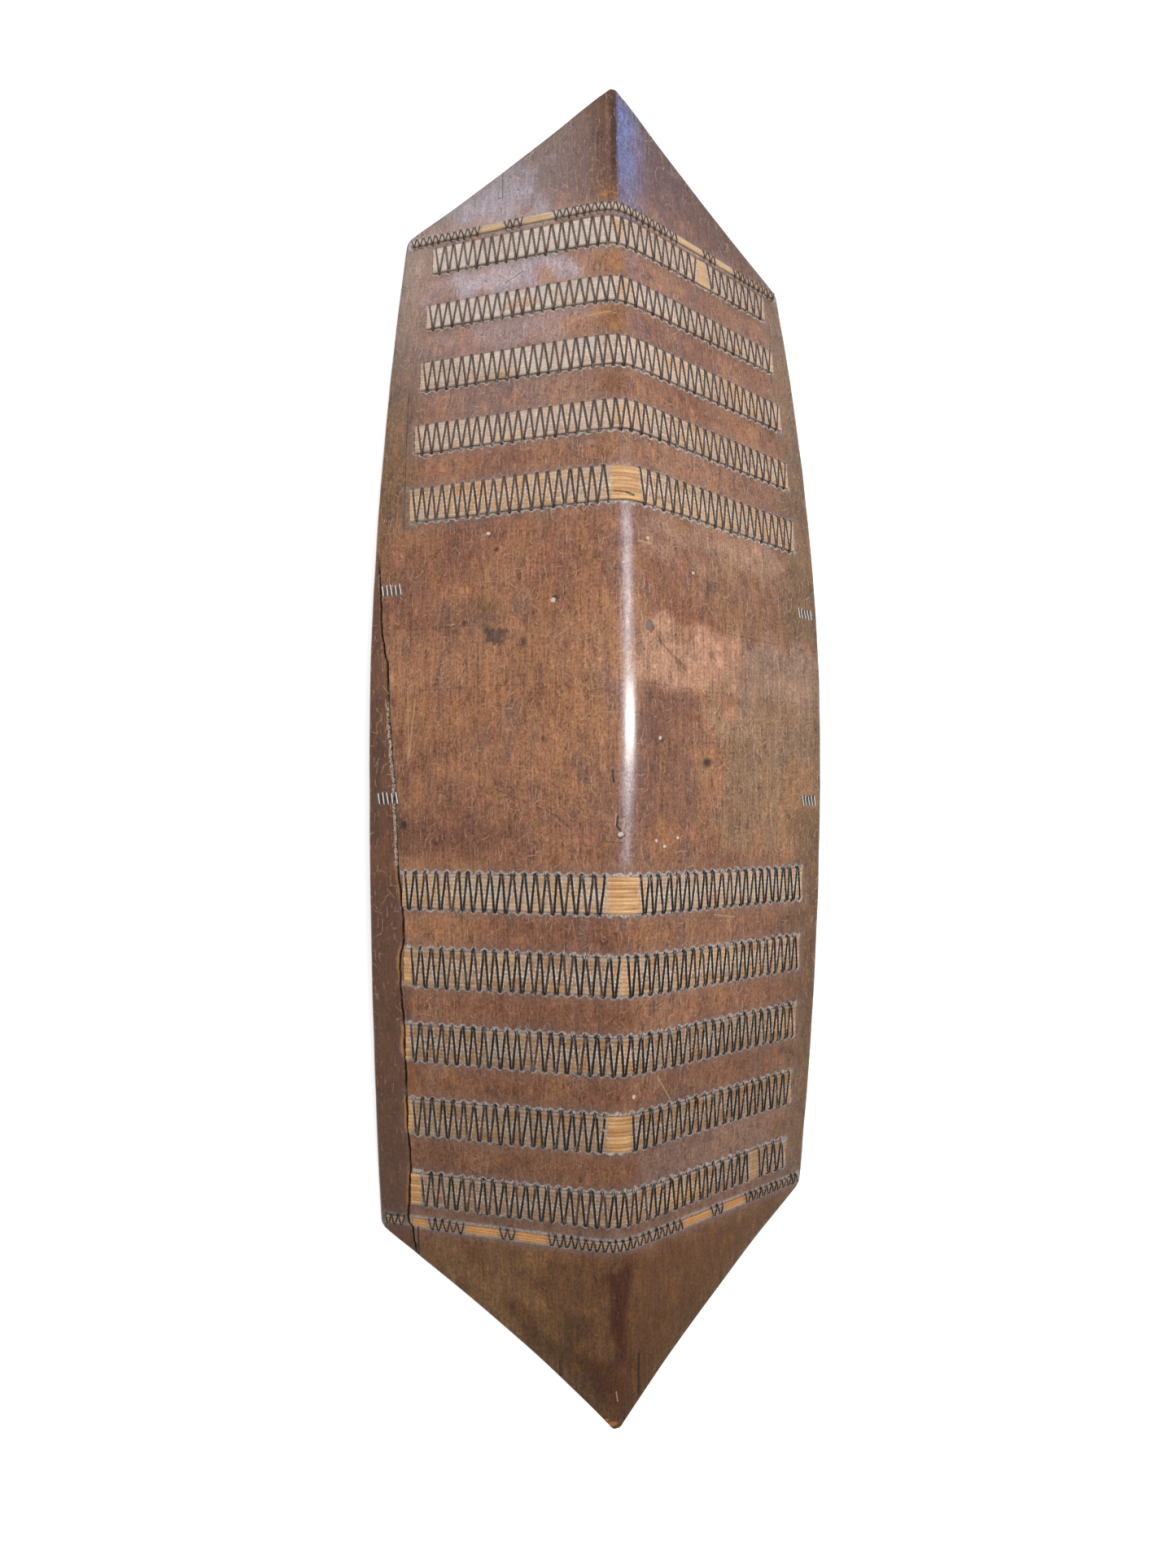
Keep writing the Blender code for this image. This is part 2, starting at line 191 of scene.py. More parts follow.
def half_width(y):
    """Half the width of the whole outline, with the slanted ends and rounded shoulders."""
    upper = y > WIDEST_Y
    shoulder_y = np.where(upper, UPPER_SHOULDER_Y, -LOWER_SHOULDER_Y)
    shoulder_half = np.where(upper, UPPER_SHOULDER_HALF_WIDTH, LOWER_SHOULDER_HALF_WIDTH)
    curve = np.where(upper, UPPER_SLANT_CURVE, LOWER_SLANT_CURVE)
    share = np.clip((TOP_Y - np.abs(y)) / (TOP_Y - shoulder_y), 0, None)
    slant = TIP_WIDTH / 2 + (shoulder_half - TIP_WIDTH / 2) * share ** curve
    slant = slant - NARROWING_PAST_TIP * np.clip(np.abs(y) - TOP_Y, 0, None)
    side = edge_half_width(y)
    return (side + slant - np.sqrt((side - slant) ** 2 + SHOULDER_ROUNDING ** 2)) / 2


def bow(y, square, ease):
    """How far a lengthwise line has dropped at y."""
    share = (y - BOW_MIDDLE_Y) / BOW_REACH
    return square * share ** 2 - ease * share ** 4


def face_slope(y):
    """How steeply a face falls from the ridge to its long edge."""
    y = np.clip(y, LOWER_SHOULDER_Y, UPPER_SHOULDER_Y)
    drop = RIDGE_HEIGHT + bow(y, EDGE_BOW, EDGE_BOW_EASE) - bow(y, RIDGE_BOW, RIDGE_BOW_EASE)
    return drop / (np.hypot(edge_half_width(y), RIDGE_ROUNDING) - RIDGE_ROUNDING)


def skin(x, y, above=0.0):
    """The height of the point that stands this far above the wood's front at x, y."""
    slope = face_slope(y)
    fall = slope * (np.hypot(x, RIDGE_ROUNDING) - RIDGE_ROUNDING)
    return RIDGE_TOP - bow(y, RIDGE_BOW, RIDGE_BOW_EASE) - fall + above * np.sqrt(1 + slope ** 2)


def skin_normal(x, y):
    """The direction straight out of the front at x, y."""
    step = 0.0004
    run = (skin(x + step, y) - skin(x - step, y)) / (2 * step)
    rise = (skin(x, y + step) - skin(x, y - step)) / (2 * step)
    out = np.stack([-run, -rise, np.ones_like(run)], -1)
    return out / np.linalg.norm(out, axis=-1, keepdims=True)


print("height at the ridge:", float(skin(0, BOW_MIDDLE_Y)))
print("height at the widest edge:", round(float(skin(HALF_WIDTH, WIDEST_Y)), 4))

# %% [markdown]
# ## The bands' places
# Ten flat rattan strips cross the board in two groups of five, with two narrow ones near the shoulders. They
# are named here, before the wood, because the wood is stained and dusty beside each of them.

# %% Name the bands
SEAT_GAP = 0.0003
STRIP_THICKNESS = 0.0018
UPPER_STRIP_Y = 0.188
UPPER_STRIP_STEP = 0.0643
LOWER_STRIP_Y = -0.152
LOWER_STRIP_STEP = 0.0659
STRIP_WIDTHS = (0.029, 0.0255, 0.029, 0.0275, 0.031, 0.0295, 0.031, 0.0305, 0.0305, 0.028)
STRIP_INSET_LEFT = 0.029
STRIP_INSET_RIGHT = 0.0245
LACING_PITCH = 0.0090
LACING_OVERRUN = 0.0015
LACING_INSET = 0.002
BARE_LEFT_ENDS = {7: 0.006, 8: 0.004, 9: 0.004, 10: 0.009}
BARE_PATCHES = {
    1: (0.0865, 0.0990), 5: (-0.0140, 0.0120), 6: (-0.0175, 0.0095), 7: (-0.0048, 0.0), 9: (-0.0130, 0.0085),
    10: (0.1340, 0.1440),
}
NARROW_WIDTH = 0.007
NARROW_INSET = 0.004
UPPER_NARROW_Y = 0.471
LOWER_NARROW_Y = -0.447
NARROW_PITCH = 0.0062
UPPER_GROUP_ENDS = (-0.1223, -0.1009, -0.0828, -0.0561, 0.0655, 0.0951, 0.1111, 0.1327)
LOWER_BREAK = (-0.180, -0.173)
LOWER_GROUP_ENDS = (-0.1800, -0.1589, -0.1275, -0.0975, -0.0838, -0.0569, 0.0625, 0.0922, 0.1058, 0.1313)
SIDE_LASHING_Y = {"upper": 0.111, "lower": -0.073}
SIDE_LASHING_INSET = 0.008
SIDE_LASHING_LENGTH = 0.018
SIDE_LASHING_HEIGHT = 0.0085
SIDE_LASHING_PITCH = 0.0042


def band_line(number):
    """The middle line, the width and the two ends of a wide strip, 1 at the top and 10 at the bottom."""
    if number <= 5:
        y = UPPER_STRIP_Y + UPPER_STRIP_STEP * (5 - number)
    else:
        y = LOWER_STRIP_Y - LOWER_STRIP_STEP * (number - 6)
    half = float(edge_half_width(np.float64(y)))
    return y, STRIP_WIDTHS[number - 1], -(half - STRIP_INSET_LEFT), half - STRIP_INSET_RIGHT


def zigzag_runs(number):
    """The lacing's runs over a wide strip: left end, right end and how many legs each has."""
    y, width, left, right = band_line(number)
    left += BARE_LEFT_ENDS.get(number, LACING_INSET)
    right -= LACING_INSET
    spans = [(left, right)]
    if number in BARE_PATCHES:
        spans = [(left, BARE_PATCHES[number][0]), (BARE_PATCHES[number][1], right)]
    return [(a, b, max(2, round((b - a) / (LACING_PITCH / 2)))) for a, b in spans]


def narrow_reach(y):
    """How far a narrow strip at y reaches to each side."""
    halves = [float(half_width(np.float64(y + edge * NARROW_WIDTH / 2))) for edge in (-1, 1)]
    return min(halves) - NARROW_INSET


for number in (1, 10):
    print("band", number, [round(v, 4) for v in band_line(number)], zigzag_runs(number))

# %% [markdown]
# ## Small unevenness
# Nothing carved by hand is quite even. Two helpers give smooth random waves, one along a line and one over
# the surface. They are sums of a few sine waves with seeded phases, so each run gives the same shield.


# %% Make seeded waves
def wander(place, seed, length):
    """A smooth random wave between about -1 and 1 along a line, changing over this length."""
    dice = np.random.default_rng(seed)
    total = np.zeros_like(np.asarray(place, float))
    for _ in range(6):
        total += np.sin(2 * np.pi * place / (length * dice.uniform(0.6, 2.0)) + dice.uniform(0, 2 * np.pi))
    return total / 3.2


def ripple(x, y, seed, across, along):
    """A smooth random wave between about -1 and 1 over the surface."""
    dice = np.random.default_rng(seed)
    total = np.zeros_like(x)
    for _ in range(9):
        turn = dice.uniform(0, 2 * np.pi)
        waves = x * math.cos(turn) / across + y * math.sin(turn) / along
        total += np.sin(2 * np.pi * waves + dice.uniform(0, 2 * np.pi))
    return total / 4


def eased(value, low, high):
    """Rises smoothly from 0 at low to 1 at high."""
    share = np.clip((value - low) / (high - low), 0, 1)
    return share * share * (3 - 2 * share)


print("a wave at three places:", np.round(wander(np.array([0.0, 0.1, 0.2]), 1, 0.1), 2))

# %% [markdown]
# ## The crack
# An old crack runs nearly the whole length of the left side. On the real board it opened slowly, so the
# narrow sliver beside it stands a little lower and the gap has caught light filler and dust. It is cut into
# the board's mesh as a groove, and the distance to it is kept for the colours.

# %% Trace the crack
CRACK_PATH = (
    (0.172, -0.004), (0.139, 0.004), (0.105, 0.0075), (0.071, 0.010), (0.045, 0.016), (0.0, 0.018),
    (-0.065, 0.0235), (-0.136, 0.0255), (-0.168, 0.029), (-0.200, 0.0295), (-0.207, 0.0262), (-0.233, 0.0256),
    (-0.267, 0.028), (-0.365, 0.0285), (-0.390, 0.030), (-0.430, 0.027), (-0.447, 0.0245), (-0.453, 0.0295),
    (-0.492, 0.033),
)


def crack_inset(y):
    """How far inside the left long edge the crack lies at y."""
    line = np.array(CRACK_PATH)[::-1]
    return np.interp(y, line[:, 0], line[:, 1])


def crack_x(y):
    """The crack's x at y, with the small bends of torn wood."""
    bends = 0.00035 * wander(y, 11, 0.022) + 0.00022 * wander(y, 12, 0.009)
    return -(edge_half_width(y) - crack_inset(y)) + bends


print("crack at the middle:", round(float(crack_x(np.array([0.0]))[0]), 4))

# %% [markdown]
# ## The board
# The board starts as a flat grid primitive. Extruding the whole grid gives it a back and an edge all round,
# and each of its points is then laid on the form. A grid is used rather than a box with subdivision, because
# its lines can be gathered where detail is: along the rim, the ridge, the crack and the edges of every band.

# %% Choose the lines of the grid
RIM_STEPS = np.array([0.0, 0.0005, 0.0014, 0.0030])
TIP_STEPS = np.array([0.0, 0.00015, 0.0005, 0.0011, 0.0020, 0.0035])
CRACK_STEPS = np.array([-0.0030, -0.0012, -0.0005, 0.0, 0.0005, 0.0012, 0.0030])
LEFT_COLUMNS = 38
RIGHT_COLUMNS = 44
ROW_STEP = 0.004


def board_rows():
    """The grid's y places: even steps, the rim at both tips, and a row on each band's edge."""
    tip_y = TOP_Y + TIP_REACH
    even = list(np.arange(-tip_y + 0.0065, tip_y - 0.005, ROW_STEP))
    fixed = []
    for number in range(1, 11):
        y, width, _, _ = band_line(number)
        fixed += [y - width / 2, y + width / 2]
    for y in (UPPER_NARROW_Y, LOWER_NARROW_Y):
        fixed += [y - NARROW_WIDTH / 2, y + NARROW_WIDTH / 2]
    kept = [y for y in even if min(abs(y - other) for other in fixed) > 0.0015]
    tips = list(-tip_y + TIP_STEPS) + list(tip_y - TIP_STEPS)
    return np.array(sorted(kept + fixed + tips))


def board_columns(y):
    """The grid's x places in the row at y."""
    wide = float(half_width(np.float64(y)))
    near_tip = TOP_Y + TIP_REACH - abs(y)
    if near_tip < TIP_ROUNDING:
        wide = min(wide, math.sqrt(TIP_ROUNDING ** 2 - (TIP_ROUNDING - near_tip) ** 2) + 0.0006)
    fine = min(1.0, wide / 0.05)
    rim = RIM_STEPS * fine
    split = -min(float(edge_half_width(np.float64(y)) - crack_inset(y)), wide - 0.0065 * fine)
    cracked = split + CRACK_STEPS * fine
    outer = np.linspace(-wide + rim[-1], cracked[0], 6)[1:-1]
    left = cracked[-1] * np.linspace(1, 0, LEFT_COLUMNS + 2)[1:] ** 1.5
    right = (wide - rim[-1]) * np.linspace(0, 1, RIGHT_COLUMNS + 2)[1:-1] ** 1.5
    return np.concatenate([-wide + rim, outer, cracked, left, right, (wide - rim)[::-1]])


ROWS = board_rows()
COLUMNS = np.array([board_columns(y) for y in ROWS])
print("board grid:", COLUMNS.shape)


# %% Add a grid and give it a back
def fresh_slab(name, columns, rows):
    """A grid primitive of so many cells, extruded up by 1 so that it is closed all round."""
    bpy.ops.object.select_all(action="DESELECT")
    bpy.ops.mesh.primitive_grid_add(x_subdivisions=columns, y_subdivisions=rows, size=1, location=(0, 0, 0))
    piece = bpy.context.object
    piece.name = name
    bpy.ops.object.mode_set(mode="EDIT")
    bpy.ops.mesh.select_all(action="SELECT")
    bpy.ops.mesh.extrude_region_move(TRANSFORM_OT_translate={"value": (0, 0, 1)})
    bpy.ops.mesh.select_all(action="SELECT")
    bpy.ops.mesh.normals_make_consistent(inside=False)
    bpy.ops.object.mode_set(mode="OBJECT")
    return piece


def grid_places(piece, columns, rows):
    """Each point's column, row and whether it is on the top of the slab."""
    flat = np.empty(len(piece.data.vertices) * 3)
    piece.data.vertices.foreach_get("co", flat)
    points = flat.reshape(-1, 3)
    column = np.rint((points[:, 0] + 0.5) * columns).astype(int)
    row = np.rint((points[:, 1] + 0.5) * rows).astype(int)
    return column, row, points[:, 2] > 0.5


def lay(piece, x, y, z):
    """Puts a mesh's points at these places."""
    piece.data.vertices.foreach_set("co", np.stack([x, y, z], 1).ravel())
    piece.data.update()


def note(piece, name, values):
    """Keeps a number for each point, which a shader can read by its name."""
    store = piece.data.attributes.new(name, "FLOAT", "POINT")
    store.data.foreach_set("value", np.asarray(values, np.float32))


board = fresh_slab("shield_board", COLUMNS.shape[1] - 1, COLUMNS.shape[0] - 1)
print("slab points:", len(board.data.vertices))


# %% Lay the board on its form
def rim_distance(x, y):
    """How far a point of the front is from the outline."""
    step = 0.0001
    lean = (half_width(y + step) - half_width(y - step)) / (2 * step)
    side = (half_width(y) - np.abs(x)) / np.sqrt(1 + lean ** 2)
    return np.clip(np.minimum(side, TOP_Y + TIP_REACH - np.abs(y)), 0, None)


SCOOP_LENGTH = 0.034
SCOOP_WIDTH = 0.019
SCOOP_DEPTH = 0.0005
RIM_WEAR = 0.0015
RIM_WEAR_CHANGE = 0.0005
CRACK_DEPTH = 0.0024
CRACK_HALF_WIDTH = 0.0007
CRACK_WIDTH_CHANGE = 0.0003
SLIVER_DROP = 0.0006
SLIVER_DROP_CHANGE = 0.0003


def adze_cut(x, y):
    """The depth of the shallow scoops that a small adze leaves on the back, from 0 to 1."""
    row = y / SCOOP_LENGTH + 0.25 * np.sin(x * 60)
    shift = 0.5 * (np.floor(row) % 2)
    side = x / SCOOP_WIDTH + shift
    across = 2 * (side - np.floor(side)) - 1
    along = 2 * (row - np.floor(row)) - 1
    return np.clip(1 - 0.5 * (across ** 2 + along ** 2), 0, 1)


column, row, front = grid_places(board, COLUMNS.shape[1] - 1, COLUMNS.shape[0] - 1)
x = COLUMNS[row, column]
y = ROWS[row]
edge = rim_distance(x, y)
gap = x - crack_x(y)
worn = RIM_WEAR + RIM_WEAR_CHANGE * wander(y + 3 * np.sign(x), 21, 0.06)
rounding = np.where(edge < worn, worn - np.sqrt(np.clip(worn ** 2 - (worn - edge) ** 2, 0, None)), 0)
cracked = eased(y, -0.485, -0.470) * (1 - eased(y, 0.128, 0.160))
width = CRACK_HALF_WIDTH + CRACK_WIDTH_CHANGE * wander(y, 13, 0.05)
groove = CRACK_DEPTH * cracked * np.exp(-(gap / width) ** 2)
sunk = cracked * (SLIVER_DROP + SLIVER_DROP_CHANGE * wander(y, 14, 0.12)) * (1 - eased(gap, -0.0012, 0.0002))
height = -0.00016 - 0.00014 * ripple(x, y, 15, 0.05, 0.13) - groove - sunk
back = -THICKNESS + SCOOP_DEPTH * adze_cut(x, y) * eased(edge, 0.002, 0.012)
above = np.where(front, height - rounding, back + 0.6 * rounding)
z = np.clip(skin(x, y, above), 0, None)
lay(board, x, y, z)
print("board height:", round(float(z.max()), 4), "lowest:", float(z.min()))

# %% [markdown]
# The shader needs to know where it is: how far from the rim, the crack and the nearest band, and at which
# stitch along that band. These numbers are noted on each point of the board while they are easy to work out.


# %% Note the distances on the board
def band_notes(x, y):
    """Distance to the nearest strip, the phase of its zigzag there, and the side of it the point is on."""
    nearest = np.full_like(x, 1.0)
    phase = np.zeros_like(x)
    side = np.zeros_like(x)
    for number in range(1, 11):
        middle, wide, left, right = band_line(number)
        beyond = np.maximum(np.abs(y - middle) - wide / 2, np.maximum(left - x, x - right))
        closer = beyond < nearest
        nearest = np.where(closer, beyond, nearest)
        side = np.where(closer, np.sign(y - middle) * (np.abs(y - middle) > wide / 2 - 0.0008), side)
        for start, end, legs in zigzag_runs(number):
            here = closer & (x > start - 0.004) & (x < end + 0.004)
            phase = np.where(here, (x - start) / (end - start) * legs, phase)
    return nearest, phase, side


def narrow_distance(x, y):
    """Distance to the nearer narrow strip, and to the nearest side lashing."""
    nearest = np.full_like(x, 1.0)
    for middle in (UPPER_NARROW_Y, LOWER_NARROW_Y):
        beyond = np.maximum(np.abs(y - middle) - NARROW_WIDTH / 2, np.abs(x) - narrow_reach(middle))
        nearest = np.minimum(nearest, beyond)
    lashed = np.full_like(x, 1.0)
    for middle in SIDE_LASHING_Y.values():
        centre = edge_half_width(np.float64(middle)) - SIDE_LASHING_INSET - SIDE_LASHING_LENGTH / 2
        past_end = np.clip(np.abs(np.abs(x) - centre) - SIDE_LASHING_LENGTH / 2, 0, None)
        past_side = np.clip(np.abs(y - middle) - SIDE_LASHING_HEIGHT / 2, 0, None)
        lashed = np.minimum(lashed, np.hypot(past_end, past_side))
    return nearest, lashed


band, phase, side = band_notes(x, y)
narrow, lashed = narrow_distance(x, y)
board_notes = {
    "rim": edge, "crack": gap, "band": band, "phase": phase, "side": side, "narrow": narrow, "lashed": lashed,
    "back": np.where(front, 0.0, 1.0),
}
for name, values in board_notes.items():
    note(board, name, values)
print("notes on the board:", list(board_notes))

# %% [markdown]
# ## Broad tones of the wood
# The broad tones have their own places on the shield: a paler stretch across the middle, as if something once
# lay round it, olive edges, a painted lavender reflection of the low light at the upper left, and a dark lower
# tip. They could be boxes in the shader, but more than forty of them would slow every render, and they are
# wider than the mesh is fine. So they are laid one over the other here, at each point of the front, and the
# shader reads only the result. The line of light on the ridge comes only partly from the lights, so a soft
# painted highlight is laid along it last. All of these are kept off the back.

# %% List the broad tones
# Each tone's left, right, bottom and top edge, the softness of its edges, its strength and its colour.
WASHES = (
    (0.008, 0.230, 0.020, 0.073, 0.004, 0.30, (188, 146, 120)),
    (0.010, 0.105, 0.023, 0.066, 0.016, 0.36, (208, 160, 130)),
    (-0.200, -0.020, 0.020, 0.073, 0.004, 0.12, (178, 136, 110)),
    (0.112, 0.230, 0.020, 0.076, 0.018, 0.52, (132, 112, 98)),
    (0.010, 0.066, -0.095, 0.014, 0.014, 0.44, (112, 80, 70)),
    (0.072, 0.135, -0.018, 0.006, 0.012, 0.40, (192, 148, 118)),
    (0.090, 0.230, -0.120, 0.022, 0.030, 0.52, (134, 114, 88)),
    (0.160, 0.206, -0.115, -0.040, 0.020, 0.34, (160, 104, 60)),
    (0.075, 0.215, 0.078, 0.150, 0.030, 0.38, (126, 98, 72)),
    (0.020, 0.180, -0.202, -0.170, 0.020, 0.30, (112, 84, 68)),
    (-0.160, -0.110, 0.120, 0.172, 0.030, 0.26, (124, 80, 62)),
    (-0.070, -0.015, 0.020, 0.075, 0.030, 0.20, (172, 124, 86)),
    (0.020, 0.170, 0.136, 0.172, 0.016, 0.32, (180, 150, 128)),
    (0.030, 0.180, 0.208, 0.238, 0.010, 0.28, (134, 106, 94)),
    (0.012, 0.165, 0.402, 0.428, 0.014, 0.30, (122, 86, 66)),
    (0.020, 0.165, -0.402, -0.368, 0.012, 0.26, (142, 124, 118)),
    (-0.090, -0.010, 0.100, 0.170, 0.030, 0.28, (132, 84, 66)),
    (-0.135, -0.105, 0.078, 0.094, 0.012, 0.40, (96, 74, 64)),
    (-0.172, -0.085, -0.118, -0.094, 0.014, 0.46, (88, 54, 46)),
    (-0.170, -0.030, -0.130, -0.060, 0.030, 0.26, (124, 84, 68)),
    (-0.150, -0.050, -0.020, 0.060, 0.040, 0.20, (166, 116, 76)),
    (-0.196, -0.174, -0.125, -0.082, 0.008, 0.50, (82, 50, 44)),
    (-0.230, -0.203, -0.110, 0.020, 0.006, 0.50, (72, 46, 38)),
    # A painted reflection: the lavender sheen of the low light beyond the upper end, here and in the next row.
    (-0.145, -0.045, 0.385, 0.435, 0.040, 0.52, (174, 166, 178)),
    (-0.135, -0.040, 0.340, 0.372, 0.025, 0.32, (150, 138, 146)),
    (-0.150, 0.000, 0.275, 0.312, 0.030, 0.34, (112, 90, 82)),
    (0.030, 0.160, 0.345, 0.365, 0.020, 0.30, (112, 76, 60)),
    (-0.200, -0.004, 0.490, 0.610, 0.020, 0.34, (86, 64, 62)),
    # A painted reflection: the same lavender sheen at the upper tip's left.
    (-0.150, -0.068, 0.482, 0.532, 0.030, 0.46, (166, 156, 168)),
    (0.022, 0.095, 0.500, 0.610, 0.030, 0.26, (100, 76, 68)),
    (0.040, 0.200, 0.470, 0.550, 0.030, 0.44, (90, 56, 44)),
    (0.172, 0.230, 0.080, 0.480, 0.012, 0.50, (100, 82, 54)),
    (0.172, 0.230, -0.450, -0.080, 0.012, 0.46, (92, 72, 46)),
    (-0.230, -0.174, 0.165, 0.480, 0.012, 0.46, (98, 80, 56)),
    (-0.230, -0.178, -0.460, -0.140, 0.008, 0.56, (70, 46, 32)),
    (-0.210, 0.210, -0.610, -0.462, 0.012, 0.38, (94, 48, 0)),
    (-0.170, -0.060, -0.520, -0.462, 0.030, 0.42, (134, 102, 68)),
    (-0.052, -0.006, -0.535, -0.465, 0.020, 0.28, (112, 82, 60)),
    (-0.034, -0.004, -0.590, -0.548, 0.014, 0.40, (50, 38, 14)),
    (0.008, 0.090, -0.600, -0.520, 0.024, 0.26, (64, 34, 12)),
    (-0.078, -0.018, -0.565, -0.512, 0.028, 0.45, (46, 34, 16)),
    (-0.063, -0.046, -0.525, -0.504, 0.009, 0.50, (122, 88, 44)),
    (-0.006, 0.010, -0.547, -0.464, 0.008, 0.82, (62, 20, 4)),
    (-0.030, 0.024, -0.610, -0.546, 0.016, 0.50, (66, 28, 4)),
    (0.080, 0.096, -0.388, -0.368, 0.010, 0.45, (66, 46, 40)),
    (-0.010, 0.018, -0.130, -0.098, 0.016, 0.24, (104, 84, 84)),
)
print("broad tones:", len(WASHES))


# %% Lay the broad tones over each other
drift = 0.7 * ripple(x, y, 16, 0.035, 0.035)
stray = 0.7 * ripple(x, y, 17, 0.035, 0.035)


def in_box(left, right, bottom, top, soft):
    """1 for the points inside a box and 0 outside it, with an uneven edge of this softness."""
    u, v, half = x + drift * soft, y + stray * soft, soft / 2
    across = eased(u, left - half, left + half) * (1 - eased(u, right - half, right + half))
    return across * eased(v, bottom - half, bottom + half) * (1 - eased(v, top - half, top + half))


# The soft pale line along the ridge is a painted highlight.
SHEEN_X = -0.0018
SHEEN_WIDTH = 0.0041
SHEEN_TONE = (224, 212, 220)
# The painted highlight's strength at places along the ridge.
SHEEN_ALONG = (
    (-0.137, 0.0), (-0.122, 0.24), (-0.060, 0.40), (-0.035, 0.22), (0.035, 0.22), (0.060, 0.44),
    (0.100, 0.36), (0.160, 0.24), (0.174, 0.0),
)
tinted = np.zeros((len(x), 4))
untinted = np.ones_like(x)
for left, right, bottom, top, soft, share, tint in WASHES:
    here = share * in_box(left, right, bottom, top, soft) * front
    tinted = tinted * (1 - here)[:, None] + here[:, None] * np.array(coloured(*tint))
    untinted = untinted * (1 - here)
sheen_y, sheen_share = np.array(SHEEN_ALONG).T
sheen = np.interp(y, sheen_y, sheen_share) * np.exp(-((x - SHEEN_X) / SHEEN_WIDTH) ** 2) * front
tinted = tinted * (1 - sheen)[:, None] + sheen[:, None] * np.array(coloured(*SHEEN_TONE))
untinted = untinted * (1 - sheen)
note(board, "washed", 1 - untinted)
store = board.data.attributes.new("wash", "FLOAT_COLOR", "POINT")
store.data.foreach_set("color", tinted.astype(np.float32).ravel())
print("points with a broad tone:", int((untinted < 0.95).sum()))

# %% [markdown]
# ## The grip
# The back of the shield is out of sight. Such shields have one handle, left standing when the hollow is
# carved: a bar along the ridge, joined to the board at both ends, with room for the fingers behind it. A
# cube becomes the bar, two extrusions become its feet, and bevels round it for the hand. A boolean union then
# makes it one with the board, as it is one piece of wood.

# %% Shape the bar
GRIP_Y = 0.016
GRIP_WIDTH = 0.028
FINGER_LENGTH = 0.125
GRIP_REAR = 0.058183
BAR_TOP = 0.0799
PAD_LENGTH = 0.045
PAD_SLOPE = 0.018
GRIP_ROUNDING = 0.006
FINGER_ROUNDING = 0.012
END_ROUNDING = 0.004
PAD_TOP = 0.1180
NEAR = 0.001
NEAR_END = 0.02


def pick(piece, kind, test):
    """In edit mode, selects only the faces or edges whose middle and direction pass the test."""
    bpy.ops.mesh.select_all(action="DESELECT")
    bpy.ops.mesh.select_mode(type=kind)
    shape = bmesh.from_edit_mesh(piece.data)
    chosen = shape.faces if kind == "FACE" else shape.edges
    for part in chosen:
        if kind == "FACE":
            passed = test(part.calc_center_median(), part.normal)
        else:
            first, second = [corner.co for corner in part.verts]
            passed = test((first + second) / 2, (second - first).normalized())
        if passed:
            part.select = True
    shape.select_flush_mode()
    bmesh.update_edit_mesh(piece.data)


def cut(point, normal):
    """Cuts the whole mesh in edit mode along a plane."""
    bpy.ops.mesh.select_all(action="SELECT")
    bpy.ops.mesh.bisect(plane_co=point, plane_no=normal)


reach = FINGER_LENGTH / 2 + PAD_LENGTH
bpy.ops.object.select_all(action="DESELECT")
bar_middle = (0, GRIP_Y, (GRIP_REAR + BAR_TOP) / 2)
bar_size = (GRIP_WIDTH, 2 * reach, BAR_TOP - GRIP_REAR)
bpy.ops.mesh.primitive_cube_add(size=1, location=bar_middle, scale=bar_size)
grip = bpy.context.object
grip.name = "grip"
bpy.ops.object.transform_apply(location=True, rotation=True, scale=True)
bpy.ops.object.mode_set(mode="EDIT")
cut((0, GRIP_Y - FINGER_LENGTH / 2, 0), (0, 1, 0))
cut((0, GRIP_Y + FINGER_LENGTH / 2, 0), (0, 1, 0))
pick(grip, "FACE", lambda middle, out: out.z > 0.9 and abs(middle.y - GRIP_Y) > FINGER_LENGTH / 2)
bpy.ops.mesh.extrude_region_move(TRANSFORM_OT_translate={"value": (0, 0, PAD_TOP - BAR_TOP)})
bpy.ops.object.mode_set(mode="OBJECT")
print("bar and feet:", len(grip.data.polygons), "faces")

# %% Slope its feet and round it
for corner in grip.data.vertices:
    if abs(corner.co.y - GRIP_Y) > reach - NEAR:
        sloped = PAD_SLOPE * (PAD_TOP - corner.co.z) / (PAD_TOP - GRIP_REAR)
        corner.co.y -= math.copysign(sloped, corner.co.y - GRIP_Y)
bpy.ops.object.mode_set(mode="EDIT")
pick(grip, "EDGE", lambda middle, way: (
    abs(way.x) > 0.9 and abs(middle.z - BAR_TOP) < NEAR and abs(middle.y - GRIP_Y) < reach - NEAR_END
))
bpy.ops.mesh.bevel(offset=FINGER_ROUNDING, segments=6, affect="EDGES")
pick(grip, "EDGE", lambda middle, way: abs(middle.z - GRIP_REAR) < NEAR)
bpy.ops.mesh.bevel(offset=GRIP_ROUNDING, segments=5, affect="EDGES")
pick(grip, "EDGE", lambda middle, way: abs(way.z) > 0.8 and abs(middle.y - GRIP_Y) > reach - NEAR_END)
bpy.ops.mesh.bevel(offset=END_ROUNDING, segments=4, affect="EDGES")
bpy.ops.object.mode_set(mode="OBJECT")
print("rounded grip:", len(grip.data.polygons), "faces")

# %% Join the grip to the board
note(grip, "back", np.ones(len(grip.data.vertices)))
for name in ("rim", "crack", "band", "narrow", "lashed"):
    note(grip, name, np.ones(len(grip.data.vertices)))
note(grip, "washed", np.zeros(len(grip.data.vertices)))
joint = board.modifiers.new("one_wood", "BOOLEAN")
joint.operation = "UNION"
joint.solver = "EXACT"
joint.object = grip
bpy.ops.object.select_all(action="DESELECT")
bpy.context.view_layer.objects.active = board
bpy.ops.object.modifier_apply(modifier=joint.name)
bpy.data.objects.remove(grip)


